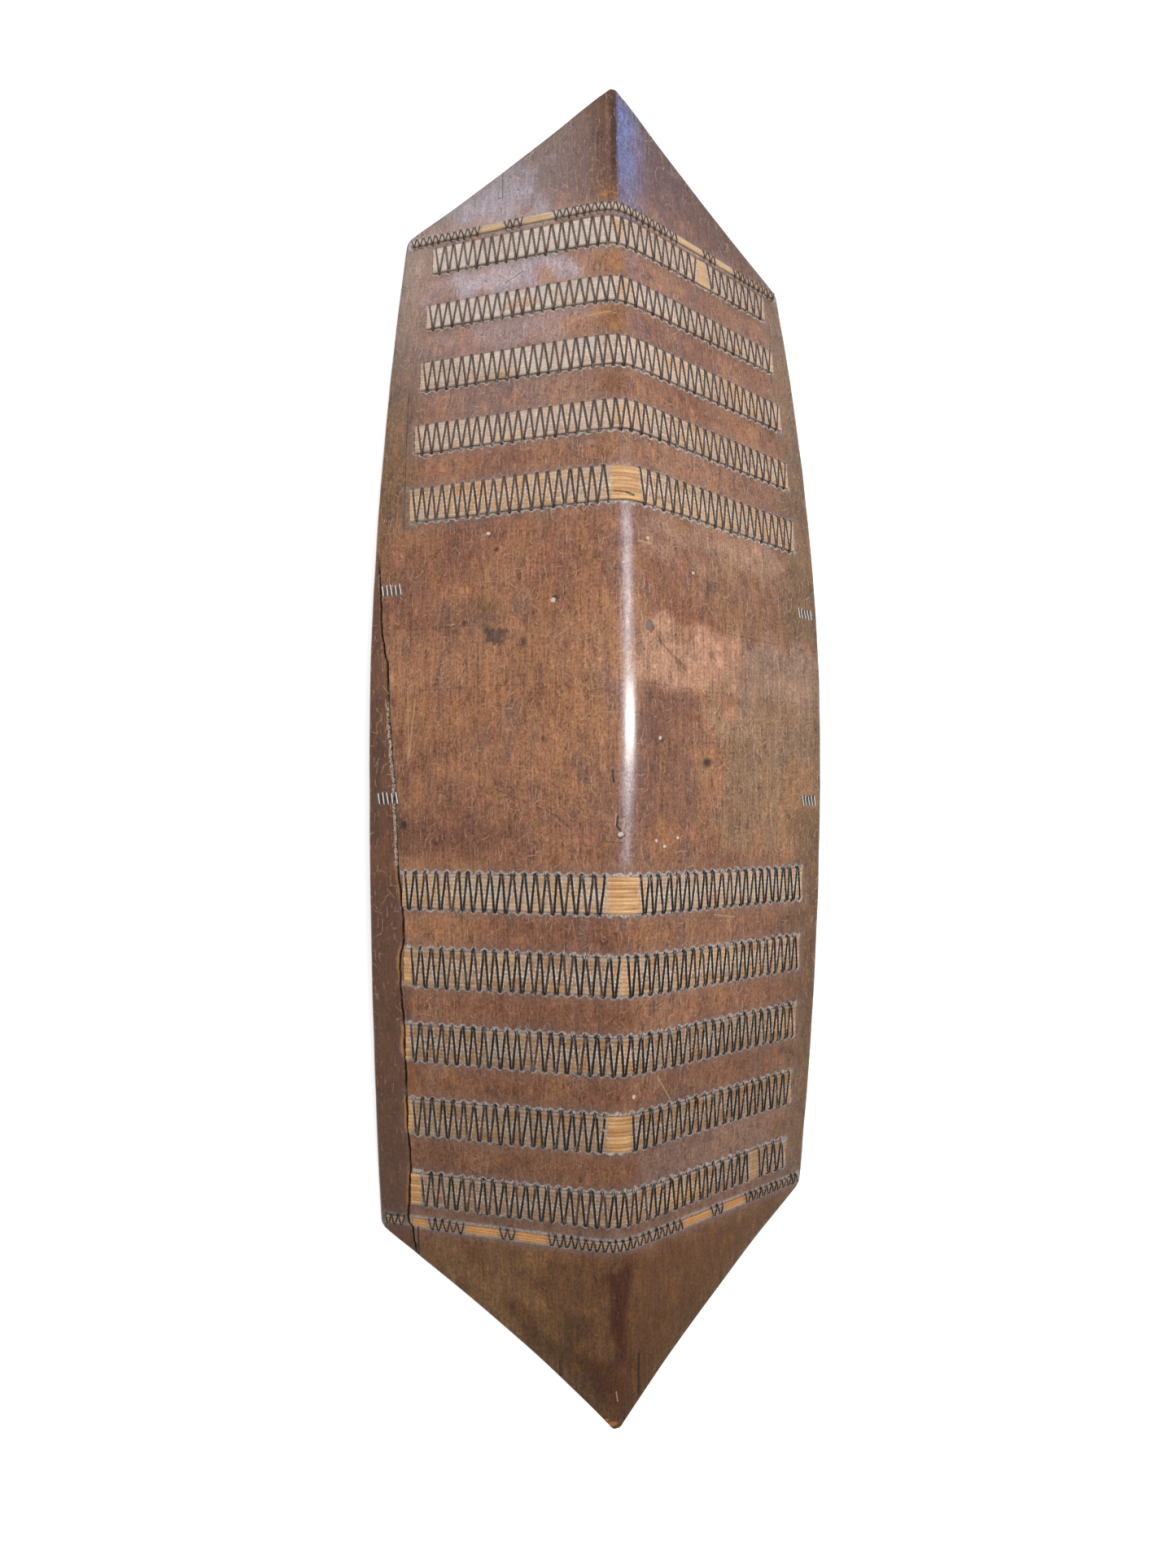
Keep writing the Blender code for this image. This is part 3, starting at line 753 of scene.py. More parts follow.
def smooth(piece, degrees):
    """Shades a piece smooth, except where faces meet more sharply than this."""
    bpy.ops.object.select_all(action="DESELECT")
    piece.select_set(True)
    bpy.context.view_layer.objects.active = piece
    bpy.ops.object.shade_smooth_by_angle(angle=math.radians(degrees))


smooth(board, 38)
print("board with grip:", len(board.data.polygons), "faces")

# %% [markdown]
# ## A way to write shaders
# A finish is a network of nodes, and most of it is arithmetic on masks. Drawing each Math node by hand hides
# what is meant, so a small class wraps a node's output: adding or multiplying two of them adds the Math node.
# One method makes any other node from its type, its settings and what goes into its sockets.


# %% Wrap the outputs of nodes
class Wire:
    """An output of a shader node; arithmetic on it adds Math nodes."""

    def __init__(self, finish, socket):
        self.finish = finish
        self.socket = socket

    def __add__(self, other):
        return self.finish.maths("ADD", self, other)

    __radd__ = __add__

    def __sub__(self, other):
        return self.finish.maths("SUBTRACT", self, other)

    def __rsub__(self, other):
        return self.finish.maths("SUBTRACT", other, self)

    def __mul__(self, other):
        return self.finish.maths("MULTIPLY", self, other)

    __rmul__ = __mul__

    def __truediv__(self, other):
        return self.finish.maths("DIVIDE", self, other)


COAT_ROUGHNESS = 0.20


class Finish:
    """One material, built node by node."""

    def __init__(self, name):
        self.material = bpy.data.materials.new(name)
        self.material.use_nodes = True
        self.tree = self.material.node_tree
        self.tree.nodes.clear()
        self.place = self.node("ShaderNodeTexCoord", out="Object")
        self.x = self.node("ShaderNodeSeparateXYZ", sockets={0: self.place}, out=0)
        self.y = self.node("ShaderNodeSeparateXYZ", sockets={0: self.place}, out=1)

    def node(self, kind, settings=None, sockets=None, out=0):
        """Makes a node, sets it up, fills its sockets and gives one of its outputs."""
        made = self.tree.nodes.new(kind)
        for name, value in (settings or {}).items():
            setattr(made, name, value)
        for name, value in (sockets or {}).items():
            if isinstance(value, Wire):
                self.tree.links.new(value.socket, made.inputs[name])
            else:
                made.inputs[name].default_value = value
        return Wire(self, made.outputs[out]) if len(made.outputs) else None

    def maths(self, operation, *values):
        """One Math node on these values."""
        return self.node("ShaderNodeMath", {"operation": operation}, dict(enumerate(values)))

    def between(self, value, low, high):
        """Rises smoothly from 0 where the value is low to 1 where it is high; low may be the larger."""
        smooth_rise = {"interpolation_type": "SMOOTHSTEP", "clamp": False}
        sockets = {"Value": value, "From Min": low, "From Max": high}
        return self.node("ShaderNodeMapRange", smooth_rise, sockets)

    def cloud(self, stretch, shift=0.0, detail=2.0, rough=0.5, twist=0.0):
        """Noise over the piece; stretch is how many features there are in a metre along x, y and z."""
        sockets = {"Vector": self.place, "Scale": stretch, "Location": (shift, shift, shift)}
        moved = self.node("ShaderNodeMapping", sockets=sockets)
        sockets = {"Vector": moved, "Scale": 1.0, "Detail": detail, "Roughness": rough, "Distortion": twist}
        return self.node("ShaderNodeTexNoise", sockets=sockets)

    def noted(self, name, out="Fac"):
        """A number, or with out="Color" a colour, that was noted on the points of the mesh."""
        return self.node("ShaderNodeAttribute", {"attribute_name": name}, out=out)

    def shake(self, amount):
        """Shifts the places a little by noise, so that no mark drawn from them has a clean edge."""
        self.x = self.x + self.wobble * amount
        self.y = self.y - self.wobble * amount
        self.flat = self.node("ShaderNodeCombineXYZ", sockets={0: self.x, 1: self.y})

    def blend(self, share, first, second, way="MIX"):
        """One colour laid over another."""
        settings = {"data_type": "RGBA", "blend_type": way, "clamp_factor": True}
        return self.node("ShaderNodeMix", settings, {0: share, 6: first, 7: second}, 2)

    def dim(self, colour, amount):
        """A colour made lighter or darker by a number."""
        settings = {"data_type": "RGBA", "clamp_factor": False}
        return self.node("ShaderNodeMix", settings, {0: amount, 6: (0, 0, 0, 1), 7: colour}, 2)

    def vector(self, operation, sockets, out=0):
        """One Vector Math node; its first output is a vector and its second a number."""
        return self.node("ShaderNodeVectorMath", {"operation": operation}, sockets, out)

    def spot(self, x, y, across, along, edge=0.5):
        """1 in the middle of an oval mark at x, y and 0 outside it."""
        sockets = {0: self.flat, 1: (1 / across, 1 / along, 0), 2: (-x / across, -y / along, 0)}
        far = self.vector("LENGTH", {0: self.vector("MULTIPLY_ADD", sockets)}, 1)
        return self.between(far + self.wobble, 1.0, edge)

    def area(self, left, right, bottom, top, soft):
        """1 inside a box over the face and 0 outside it, with an uneven edge of this softness."""
        x = self.x + self.drift * soft
        y = self.y + self.stray * soft
        half = soft / 2
        inside = self.between(x, left - half, left + half) * self.between(x, right + half, right - half)
        inside = inside * self.between(y, bottom - half, bottom + half)
        return inside * self.between(y, top + half, top - half)

    def line(self, start, end, width):
        """1 on a thin line between two points, fading over its width."""
        way = Vector((end[0] - start[0], end[1] - start[1], 0.0))
        away = self.vector("SUBTRACT", {0: self.flat, 1: (start[0], start[1], 0)})
        passed = self.vector("DOT_PRODUCT", {0: away, 1: tuple(way / way.length_squared)}, 1)
        share = self.maths("MAXIMUM", self.maths("MINIMUM", passed, 1.0), 0.0)
        foot = self.vector("SCALE", {0: tuple(way), "Scale": share})
        far = self.vector("DISTANCE", {0: away, 1: foot}, 1)
        return self.between(far, width, width * 0.35)

    def done(self, colour, rough, height, metres, strength=1.0, coat=0.0):
        """Joins colour, roughness and height to the shader; the height is in parts of these metres."""
        sockets = {"Height": height, "Distance": metres, "Strength": strength}
        bump = self.node("ShaderNodeBump", sockets=sockets, out="Normal")
        sockets = {
            "Base Color": colour, "Roughness": rough, "Normal": bump,
            "Coat Weight": coat, "Coat Roughness": COAT_ROUGHNESS,
        }
        shader = self.node("ShaderNodeBsdfPrincipled", sockets=sockets)
        self.node("ShaderNodeOutputMaterial", sockets={"Surface": shader})
        return self.material


print("shader helpers ready")

# %% [markdown]
# ## The wood's finish
# Old handled wood has many layers: grain along the board, reddish and purple blotches, a grey haze and pale
# dust beside the bands, a thin painted shade at the bands' edges, in the crack and in the pits, darkening
# towards the lower end, golden worn patches on the ridge, painted reflections and a painted highlight, stains,
# soft smudges and fine curved scratches. An image could be painted, but here each layer is a mask made from
# noise and from the noted distances, laid over the last one in the order in which it came to the real board.

# %% Grain and blotches
wood = Finish("shield_wood_finish")
wood.wobble = (wood.cloud((300, 220, 300), 4.0) - 0.5) * 0.9
wood.shake(0.0010)
wood.drift = (wood.cloud((34, 34, 34), 14.0, 4.0, 0.7) - 0.5) * 4.0
wood.stray = (wood.cloud((34, 34, 34), 17.0, 4.0, 0.7) - 0.5) * 4.0
rim = wood.noted("rim")
crack = wood.noted("crack")
band = wood.noted("band")
phase = wood.noted("phase")
side = wood.noted("side")
narrow = wood.noted("narrow")
lashed = wood.noted("lashed")
behind = wood.noted("back")
grain = wood.cloud((520, 24, 520), 1.0, 4.0, 0.65, 0.5)
blotch = wood.cloud((15, 8, 15), 3.0, 4.0, 0.6)
patches = wood.cloud((46, 20, 46), 4.0, 4.0, 0.66)
mottle = wood.cloud((120, 70, 120), 5.0, 5.0, 0.72)
speck = wood.cloud((520, 440, 520), 6.0, 4.0, 0.8)
colour = wood.blend(wood.between(blotch, 0.38, 0.62), coloured(132, 87, 64), coloured(157, 109, 78))
colour = wood.blend(wood.between(patches, 0.52, 0.68) * 0.50, colour, coloured(112, 86, 80))
colour = wood.blend(wood.between(patches, 0.46, 0.34) * 0.40, colour, coloured(172, 122, 76))
print("wood layers so far:", len(wood.tree.nodes), "nodes")

# %% Darken the ends and take in the broad tones
low = wood.between(wood.y + (blotch - 0.5) * 0.20, -0.16, -0.52)
colour = wood.blend(low * 0.66, colour, coloured(94, 62, 40))
tip = wood.between(wood.y, 0.455, 0.52)
colour = wood.blend(tip * 0.66, colour, coloured(86, 62, 54))
low_tip = wood.between(wood.y + (mottle - 0.5) * 0.04, -0.448, -0.475)
colour = wood.blend(low_tip * 0.55, colour, coloured(90, 58, 10))
colour = wood.blend(wood.between(patches, 0.50, 0.62) * low_tip * 0.42, colour, coloured(134, 94, 46))
untouched = 1.0 - wood.noted("washed")
colour = wood.blend(1.0, wood.dim(colour, untouched), wood.noted("wash", "Color"), "ADD")
print("wood layers so far:", len(wood.tree.nodes), "nodes")

# %% Colour the ridge
near_ridge = wood.maths("ABSOLUTE", wood.x + 0.006 + (mottle - 0.5) * 0.02)
golden = wood.between(near_ridge, 0.024, 0.004) * wood.between(wood.y, 0.10, 0.30)
golden = golden * wood.between(wood.y, 0.53, 0.47)
colour = wood.blend(golden * wood.between(mottle, 0.36, 0.58) * 0.42, colour, coloured(140, 100, 58))
facing = 1.0 - behind
# A painted reflection: the cool light's blue on the upper right tip, kept off the back.
blue = facing * wood.between(wood.x, 0.040, 0.008) * wood.between(wood.x, 0.0016, 0.0040)
blue = blue * wood.between(wood.y, 0.40, 0.57)
colour = wood.blend(blue * 0.74, colour, coloured(108, 124, 176))
off_line = wood.maths("ABSOLUTE", wood.x - 0.0004 + wood.wobble * 0.003)
dark_line = wood.between(off_line, 0.0050, 0.0012) * wood.between(wood.y, 0.480, 0.525)
colour = wood.blend(dark_line * 0.70, colour, coloured(48, 27, 22))
olive_rim = wood.between(rim + (mottle - 0.5) * 0.02, 0.020, 0.002)
colour = wood.blend(olive_rim * 0.35, colour, coloured(102, 80, 52))
print("wood layers so far:", len(wood.tree.nodes), "nodes")

# %% Work the fine grain over the tones
pale_mottle = wood.between(mottle, 0.46, 0.32)
dark_mottle = wood.between(mottle, 0.53, 0.68)
figure = (grain - 0.5) * 1.60 + (speck - 0.5) * 2.9 + pale_mottle * 0.50 - dark_mottle * 0.40
colour = wood.dim(colour, 1.0 + figure)
colour = wood.blend(dark_mottle * 0.22, colour, coloured(120, 76, 72))
print("wood layers so far:", len(wood.tree.nodes), "nodes")

# %% Haze and dust beside the bands, and painted shade at their edges
scallop = wood.maths("COSINE", phase * math.pi) * side
haze = wood.between(band + (mottle - 0.5) * 0.016, 0.014, 0.001)
colour = wood.blend(haze * 0.26, colour, coloured(124, 108, 100))
near_strip = wood.between(band + scallop * -0.0011 + wood.wobble * 0.0014, 0.0036, 0.0014)
turned = wood.maths("ABSOLUTE", side)
upper_side = wood.between(wood.y, 0.0, 0.15) * wood.between(side, -0.5, 0.8)
dust_line = near_strip * wood.between(speck, 0.36, 0.56) * (0.15 + turned * 0.85) * (1.0 - upper_side * 0.65)
colour = wood.blend(dust_line * 0.80, colour, coloured(206, 198, 191))
# Painted shade: a thin dark line right at each strip's edge, where the strip stands over the wood.
painted_edge_shadow = wood.between(band + wood.wobble * 0.0004, 0.0006, 0.0001)
colour = wood.blend(painted_edge_shadow * 0.35, colour, coloured(70, 56, 48))
narrow_haze = wood.between(narrow + (mottle - 0.5) * 0.012, 0.010, 0.0005)
colour = wood.blend(narrow_haze * 0.38, colour, coloured(134, 120, 114))
fringe = wood.between(narrow + wood.wobble * 0.0016, 0.0036, 0.0010) * wood.between(speck, 0.36, 0.54)
colour = wood.blend(fringe * facing * 0.56, colour, coloured(194, 187, 181))
lash_dust = wood.between(lashed + wood.wobble * 0.002, 0.004, 0.0)
colour = wood.blend(lash_dust * 0.25, colour, coloured(150, 136, 126))
print("wood layers so far:", len(wood.tree.nodes), "nodes")

# %% The crack's colours
CRACK_TOP = 0.155
CRACK_END = -0.480
STRETCH_SOFT = 0.004


def beside_crack(bottom, top, left, right, soft=0.0008):
    """1 in a ragged stretch along the crack, from left to right of it, and 0 elsewhere."""
    off = crack + wood.wobble * 0.0010 + (speck - 0.5) * 0.003
    inside = wood.between(off, left - soft, left + soft) * wood.between(off, right + soft, right - soft)
    inside = inside * wood.between(wood.y, bottom - STRETCH_SOFT, bottom + STRETCH_SOFT)
    return inside * wood.between(wood.y, top + STRETCH_SOFT, top - STRETCH_SOFT)


cracked = wood.between(wood.y, CRACK_TOP, CRACK_TOP - 0.03)
cracked = cracked * wood.between(wood.y, CRACK_END, CRACK_END + 0.01)
sliver = wood.between(crack, 0.0002, -0.0006) * cracked
colour = wood.blend(sliver * 0.50, colour, coloured(90, 60, 48))
torn = beside_crack(-0.480, 0.120, -0.0022, 0.0022) * wood.between(mottle, 0.44, 0.60)
colour = wood.blend(torn * 0.34, colour, coloured(128, 88, 58))
# Each torn place's bottom and top, how far it reaches to each side, its strength and its colour.
TORN_PLACES = (
    (0.058, 0.112, -0.0016, 0.0014, 0.80, (152, 98, 52)),
    (-0.162, -0.134, -0.0030, 0.0010, 0.70, (168, 112, 60)),
    (-0.234, -0.200, -0.0032, 0.0012, 0.75, (176, 118, 62)),
    (-0.266, -0.236, -0.0006, 0.0026, 0.70, (132, 84, 46)),
    (-0.298, -0.268, -0.0034, 0.0012, 0.75, (176, 120, 68)),
    (-0.331, -0.300, -0.0012, 0.0080, 0.66, (136, 84, 44)),
    (-0.364, -0.334, -0.0030, 0.0012, 0.72, (180, 122, 66)),
    (-0.398, -0.366, -0.0012, 0.0008, 0.70, (170, 118, 68)),
    (-0.432, -0.400, -0.0030, 0.0020, 0.70, (164, 104, 54)),
    (-0.452, -0.434, -0.0030, 0.0030, 0.30, (140, 92, 60)),
)
for bottom, top, left, right, share, tint in TORN_PLACES:
    here = beside_crack(bottom, top, left, right) * share * wood.between(mottle, 0.36, 0.50)
    colour = wood.blend(here, colour, coloured(*tint))
# Painted shade: the near-black line down in the crack's gap.
gap_width = wood.maths("ABSOLUTE", crack + wood.wobble * 0.0007)
dark_gap = wood.between(gap_width, 0.0014, 0.0006) * cracked
colour = wood.blend(dark_gap * 0.92, colour, coloured(26, 16, 12))
flecks = beside_crack(-0.132, 0.010, -0.0026, 0.0003, 0.0005) * wood.between(speck, 0.44, 0.54)
upper_flecks = beside_crack(0.040, 0.112, -0.0010, 0.0008, 0.0004) * wood.between(speck, 0.60, 0.68)
flecks = wood.maths("MAXIMUM", flecks, upper_flecks)
colour = wood.blend(flecks * 0.72, colour, coloured(204, 188, 166))
print("wood layers so far:", len(wood.tree.nodes), "nodes")

# %% [markdown]
# The scratches are fine strokes at many angles. Each set starts as parallel lines, slightly bent; the number
# of the line and the place along it feed a noise, and only where that noise is high is the stroke drawn.


# %% Draw the fine strokes
def strokes(turn, spacing, wide, shift, least):
    """Fine bent lines at one angle, each broken into short strokes."""
    over = (wood.x * math.cos(turn) + wood.y * math.sin(turn) + wood.drift * 0.0022) / spacing
    onward = (wood.y * math.cos(turn) - wood.x * math.sin(turn)) * 60
    lane = wood.maths("FLOOR", over) * 137.31 + onward + shift
    sockets = {"W": lane, "Scale": 1.0, "Detail": 1.0}
    drawn = wood.node("ShaderNodeTexNoise", {"noise_dimensions": "1D"}, sockets)
    off = wood.maths("ABSOLUTE", wood.maths("FRACT", over) - 0.5) * spacing
    return wood.between(off, wide, wide * 0.4) * wood.between(drawn, least, least + 0.05)


# Each set's angle, spacing, width of a stroke, shift of its noise and how high the noise has to be.
STROKE_SETS = (
    (0.10, 0.0050, 0.00034, 1.0, 0.60),
    (-0.30, 0.0070, 0.00036, 4.0, 0.60),
    (0.75, 0.0090, 0.00034, 7.0, 0.61),
    (-0.95, 0.0085, 0.00036, 9.0, 0.61),
    (1.50, 0.0120, 0.00034, 12.0, 0.62),
    (0.02, 0.0036, 0.00030, 15.0, 0.59),
)
# The left, right, bottom and top edge of each place that is scratched more than the rest.
RUBBED_PLACES = (
    (0.072, 0.140, -0.022, 0.008), (-0.172, -0.140, -0.275, -0.236), (-0.172, -0.095, -0.398, -0.374),
)
scratched = 0.0
for facts in STROKE_SETS:
    scratched = wood.maths("MAXIMUM", strokes(*facts), scratched)
scratched = scratched * wood.between(mottle + (patches - 0.5) * 0.5, 0.40, 0.56) * (1.0 - low * 0.85)
rubbed = wood.area(*RUBBED_PLACES[0], 0.010)
for edges in RUBBED_PLACES[1:]:
    rubbed = wood.maths("MAXIMUM", rubbed, wood.area(*edges, 0.010))
colour = wood.blend(scratched * (0.56 + rubbed * 0.3), colour, coloured(212, 172, 134))
print("wood layers so far:", len(wood.tree.nodes), "nodes")

# %% Draw the single marks
# Each mark's start, its end and its width. The dark ones are cracks and cuts.
DARK_MARKS = (
    ((-0.1018, 0.5300), (-0.1017, 0.5043), 0.0009), ((-0.1061, 0.5045), (-0.1022, 0.5044), 0.0009),
    ((-0.0950, 0.5270), (-0.0944, 0.5255), 0.0010), ((-0.0874, 0.5100), (-0.0866, 0.5090), 0.0011),
    ((0.0204, -0.5460), (0.0200, -0.5776), 0.0013), ((-0.0461, -0.5500), (-0.0460, -0.5634), 0.0008),
    ((0.1718, 0.4828), (0.1708, 0.4719), 0.0009), ((0.1784, 0.4309), (0.1735, 0.3565), 0.0005),
    ((-0.0981, 0.4062), (-0.0827, 0.4155), 0.0007), ((-0.0132, -0.0520), (-0.0122, -0.0612), 0.0011),
    ((-0.0089, -0.0887), (-0.0097, -0.0960), 0.0013), ((-0.0097, -0.0960), (-0.0060, -0.1015), 0.0012),
    ((-0.1865, 0.3000), (-0.1870, 0.1700), 0.0004), ((-0.1682, -0.4500), (-0.1676, -0.4760), 0.0010),
)
FAINT_MARKS = (
    ((-0.1050, -0.0660), (-0.0560, -0.0880), 0.0009), ((-0.0560, -0.0880), (-0.0350, -0.1080), 0.0009),
    ((-0.0350, -0.1080), (-0.0050, -0.1100), 0.0008), ((0.0450, 0.0410), (0.0560, 0.0330), 0.0030),
    ((-0.1830, 0.0740), (-0.1150, 0.0735), 0.0006), ((0.1000, 0.0738), (0.2100, 0.0745), 0.0007),
    ((0.0150, 0.0192), (0.1000, 0.0188), 0.0006), ((-0.1700, 0.0200), (-0.0500, 0.0205), 0.0004),
    ((0.0294, 0.0541), (0.0492, 0.0378), 0.0016), ((0.0225, 0.0660), (0.0294, 0.0541), 0.0010),
)
PALE_MARKS = (
    ((-0.0266, 0.3547), (-0.0078, 0.3573), 0.0010), ((-0.1735, 0.0119), (-0.1785, -0.0394), 0.0007),
    ((-0.1800, 0.0200), (-0.1785, -0.0394), 0.0006), ((0.0838, -0.1738), (0.1072, -0.1779), 0.0006),
    ((0.0317, -0.3064), (0.0445, -0.3286), 0.0006), ((0.0000, -0.5700), (0.0010, -0.5775), 0.0008),
    ((0.0098, 0.1385), (0.0200, 0.1380), 0.0006), ((0.0108, 0.0780), (0.0120, 0.0700), 0.0006),
    ((0.0120, 0.0610), (0.0125, 0.0530), 0.0006), ((-0.0100, -0.0870), (-0.0108, -0.0960), 0.0009),
    ((-0.0075, 0.0440), (0.0045, 0.0420), 0.0006), ((-0.1040, 0.4180), (-0.0900, 0.4030), 0.0006),
)
cracks = 0.0
for start, end, width in DARK_MARKS:
    cracks = wood.maths("MAXIMUM", wood.line(start, end, width), cracks)
colour = wood.blend(cracks * 0.9, colour, coloured(32, 22, 18))
faint = 0.0
for start, end, width in FAINT_MARKS:
    faint = wood.maths("MAXIMUM", wood.line(start, end, width), faint)
colour = wood.blend(faint * facing * wood.between(mottle, 0.38, 0.54) * 0.5, colour, coloured(70, 50, 46))
pale = 0.0
for start, end, width in PALE_MARKS:
    pale = wood.maths("MAXIMUM", wood.line(start, end, width), pale)
colour = wood.blend(pale * facing * 0.58, colour, coloured(206, 170, 132))
print("wood layers so far:", len(wood.tree.nodes), "nodes")

# %% Stains, pits, chips and worn spots
# Each group's strength, where its edge begins, its colour, and the place and half sizes of each spot.
SPOTS = (
    (0.86, 0.2, (50, 36, 34), (
        (-0.0830, 0.0555, 0.0028, 0.0050), (-0.1320, 0.0765, 0.0028, 0.0028), (0.0755, -0.0424, 0.008, 0.005),
        (-0.1050, 0.1390, 0.003, 0.003), (-0.1820, -0.0960, 0.006, 0.006),
    )),
    (0.45, 0.2, (116, 60, 44), (
        (-0.1291, 0.1359, 0.006, 0.006), (-0.1307, 0.0751, 0.005, 0.004), (-0.1860, -0.0270, 0.004, 0.006),
        (0.0600, -0.0050, 0.012, 0.006),
    )),
    (0.50, 0.2, (178, 132, 66), (
        (0.0011, 0.4054, 0.005, 0.005), (0.0651, 0.4114, 0.010, 0.006), (-0.0048, 0.3418, 0.005, 0.006),
        (-0.0099, 0.4861, 0.004, 0.004), (-0.0170, 0.3560, 0.014, 0.004), (0.0480, 0.4180, 0.008, 0.005),
    )),
    (0.45, 0.2, (172, 150, 138), (
        (-0.0282, 0.228, 0.006, 0.004), (0.0040, 0.1450, 0.004, 0.003), (0.1340, 0.4020, 0.003, 0.002),
    )),
    # These dark rings sit a little off the pale pits and plugs below: their own dark rims, with painted shade
    # inside the pits.
    (0.70, 0.7, (56, 38, 30), (
        (-0.0576, 0.0914, 0.0031, 0.0029), (-0.0062, -0.1041, 0.0040, 0.0034),
        (0.0188, 0.0667, 0.0046, 0.0054), (0.0285, -0.0257, 0.0027, 0.0027),
        (-0.1118, 0.1533, 0.0025, 0.0027),
    )),
    (0.88, 0.6, (216, 202, 186), (
        (-0.0064, -0.1033, 0.0029, 0.0024), (-0.0590, 0.0900, 0.0023, 0.0023),
        (-0.1125, 0.1541, 0.0021, 0.0021), (0.0276, -0.0250, 0.0020, 0.0020),
        (0.0630, 0.1220, 0.0016, 0.0016), (0.0246, -0.1084, 0.0015, 0.0015),
        (0.0324, -0.1132, 0.0017, 0.0017), (0.045, -0.1063, 0.0015, 0.0015),
        (-0.0038, 0.1179, 0.0013, 0.0013), (0.0184, 0.1426, 0.0016, 0.0014),
        (0.0102, -0.3194, 0.0018, 0.0022),
    )),
    (0.80, 0.7, (124, 116, 108), ((0.0186, 0.0669, 0.0036, 0.0044),)),
    (0.85, 0.5, (176, 108, 62), ((-0.0040, -0.5945, 0.0058, 0.0020), (-0.0085, -0.5917, 0.0036, 0.0013))),
)
# Each soft smudge's place, half sizes, strength and colour.
SMUDGES = (
    (-0.1150, 0.0920, 0.0220, 0.0130, 0.34, (104, 82, 50)),
    (-0.1150, 0.0750, 0.0190, 0.0130, 0.46, (92, 76, 72)),
    (-0.1045, 0.0630, 0.0190, 0.0135, 0.70, (50, 44, 48)),
)
for across, up, wide, high, share, tint in SMUDGES:
    smudge = wood.spot(across, up, wide, high, edge=0.1) + (mottle - 0.5) + (speck - 0.5) * 0.8
    colour = wood.blend(wood.between(smudge, 0.24, 0.74) * facing * share, colour, coloured(*tint))
for share, edge, tint, marks in SPOTS:
    found = 0.0
    for mark in marks:
        found = wood.maths("MAXIMUM", wood.spot(*mark, edge=edge), found)
    found = found * wood.between(behind, 0.5, 0.0)
    if edge < 0.5:
        found = found * wood.between(mottle, 0.28, 0.44)
    colour = wood.blend(found * share, colour, coloured(*tint))
print("wood layers so far:", len(wood.tree.nodes), "nodes")

# %% [markdown]
# The back is plainer, so one calm tone is laid over it at about half strength. The blue sheen, the pale and
# faint marks, the smudges and the spots were already kept off it. The haze and dust beside the bands weren't,
# and they still show through it faintly.

# %% The plainer back, and the finished wood
colour = wood.blend(behind * 0.55, colour, coloured(122, 88, 62))
height = grain * 0.35 + speck * 0.40 + mottle * 0.5 + dust_line * 0.3
polished = wood.between(wood.maths("ABSOLUTE", wood.x + 0.001), 0.034, 0.012) * wood.between(behind, 0.5, 0.0)
rough = 0.32 - polished * 0.06 + (mottle - 0.5) * 0.24 + haze * 0.12 + dust_line * 0.30 + behind * 0.18
glaze = polished * wood.between(wood.y, 0.29, 0.15) * wood.between(wood.y, -0.20, -0.08)
shield_wood = wood.done(colour, rough, height * (1.0 - glaze * 0.45), 0.0004, 1.0, coat=glaze)
board.data.materials.clear()
board.data.materials.append(shield_wood)
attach(board, "root")
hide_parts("board")
print("wood finish:", len(wood.tree.nodes), "nodes")

# %% [markdown]
# ## The wide strips
# Each strip is a flat band of split rattan with nine ridges along it. One slab from the grid helper is enough
# for a strip: its rows are gathered into ridges across the width, and it is laid on the form a hair above the
# wood. The strips differ in length and width, so the slab is made once, copied, and laid out for each.

# %% Shape the ridges of a strip
STRIP_COLUMNS = 96
RIBS = 9
RIB_ROWS = 4
STRIP_ROWS = RIBS * RIB_ROWS


def rib_height(share, ribs):
    """The share of the full thickness at a place across the strip, from 0 to 1."""
    ridge = np.abs(np.sin(np.pi * ribs * share)) ** 0.5
    corner = np.clip(np.minimum(share, 1 - share) * ribs * 3, 0, 1) ** 0.5
    return (0.80 + 0.20 * ridge) * (0.75 + 0.25 * corner)


def lay_strip(piece, columns, rows, ribs, middle, wide, left, right, seed):
    """Lays a slab over the wood as a ridged strip."""
    column, row, top = grid_places(piece, columns, rows)
    share = row / rows
    rib = np.minimum(np.floor(share * ribs), ribs - 1)
    dice = np.random.default_rng(seed)
    cut_left = dice.uniform(0, 0.0007, ribs)[rib.astype(int)]
    cut_right = dice.uniform(0, 0.0007, ribs)[rib.astype(int)]
    start, end = left + cut_left, right - cut_right
    x = start + (end - start) * column / columns
    edge_wave = 0.00022 * (wander(x, seed + 50, 0.05) - 1)
    y = middle + (share - 0.5) * (wide + 2 * edge_wave)
    worn_to = 1 - 0.06 * np.abs(wander(x + 0.1 * rib, seed + 60, 0.03))
    thick = STRIP_THICKNESS * rib_height(share, ribs) * worn_to
    z = skin(x, y, SEAT_GAP + np.where(top, thick, 0))
    lay(piece, x, y, z)
    note(piece, "across", share * ribs)
    note(piece, "from_edge", (0.5 - np.abs(share - 0.5)) * wide)
    note(piece, "sway", (share - 0.5) * wide / (wide / 2 + LACING_OVERRUN))
    return x


def note_lacing(piece, x, runs):
    """Notes where a strip is bare, and which leg of the zigzag crosses it where it isn't."""
    covered = np.zeros_like(x)
    phase = np.zeros_like(x)
    for start, end, legs in runs:
        covered = np.maximum(covered, eased(x, start - 0.003, start) * (1 - eased(x, end, end + 0.003)))
        phase = np.where((x > start - 0.004) & (x < end + 0.004), (x - start) / (end - start) * legs, phase)
    note(piece, "bare", 1 - covered)
    note(piece, "phase", phase)


def own_copy(piece, name):
    """A copy of a piece with its own mesh."""
    twin = piece.copy()
    twin.data = piece.data.copy()
    twin.name = name
    bpy.context.scene.collection.objects.link(twin)
    return twin


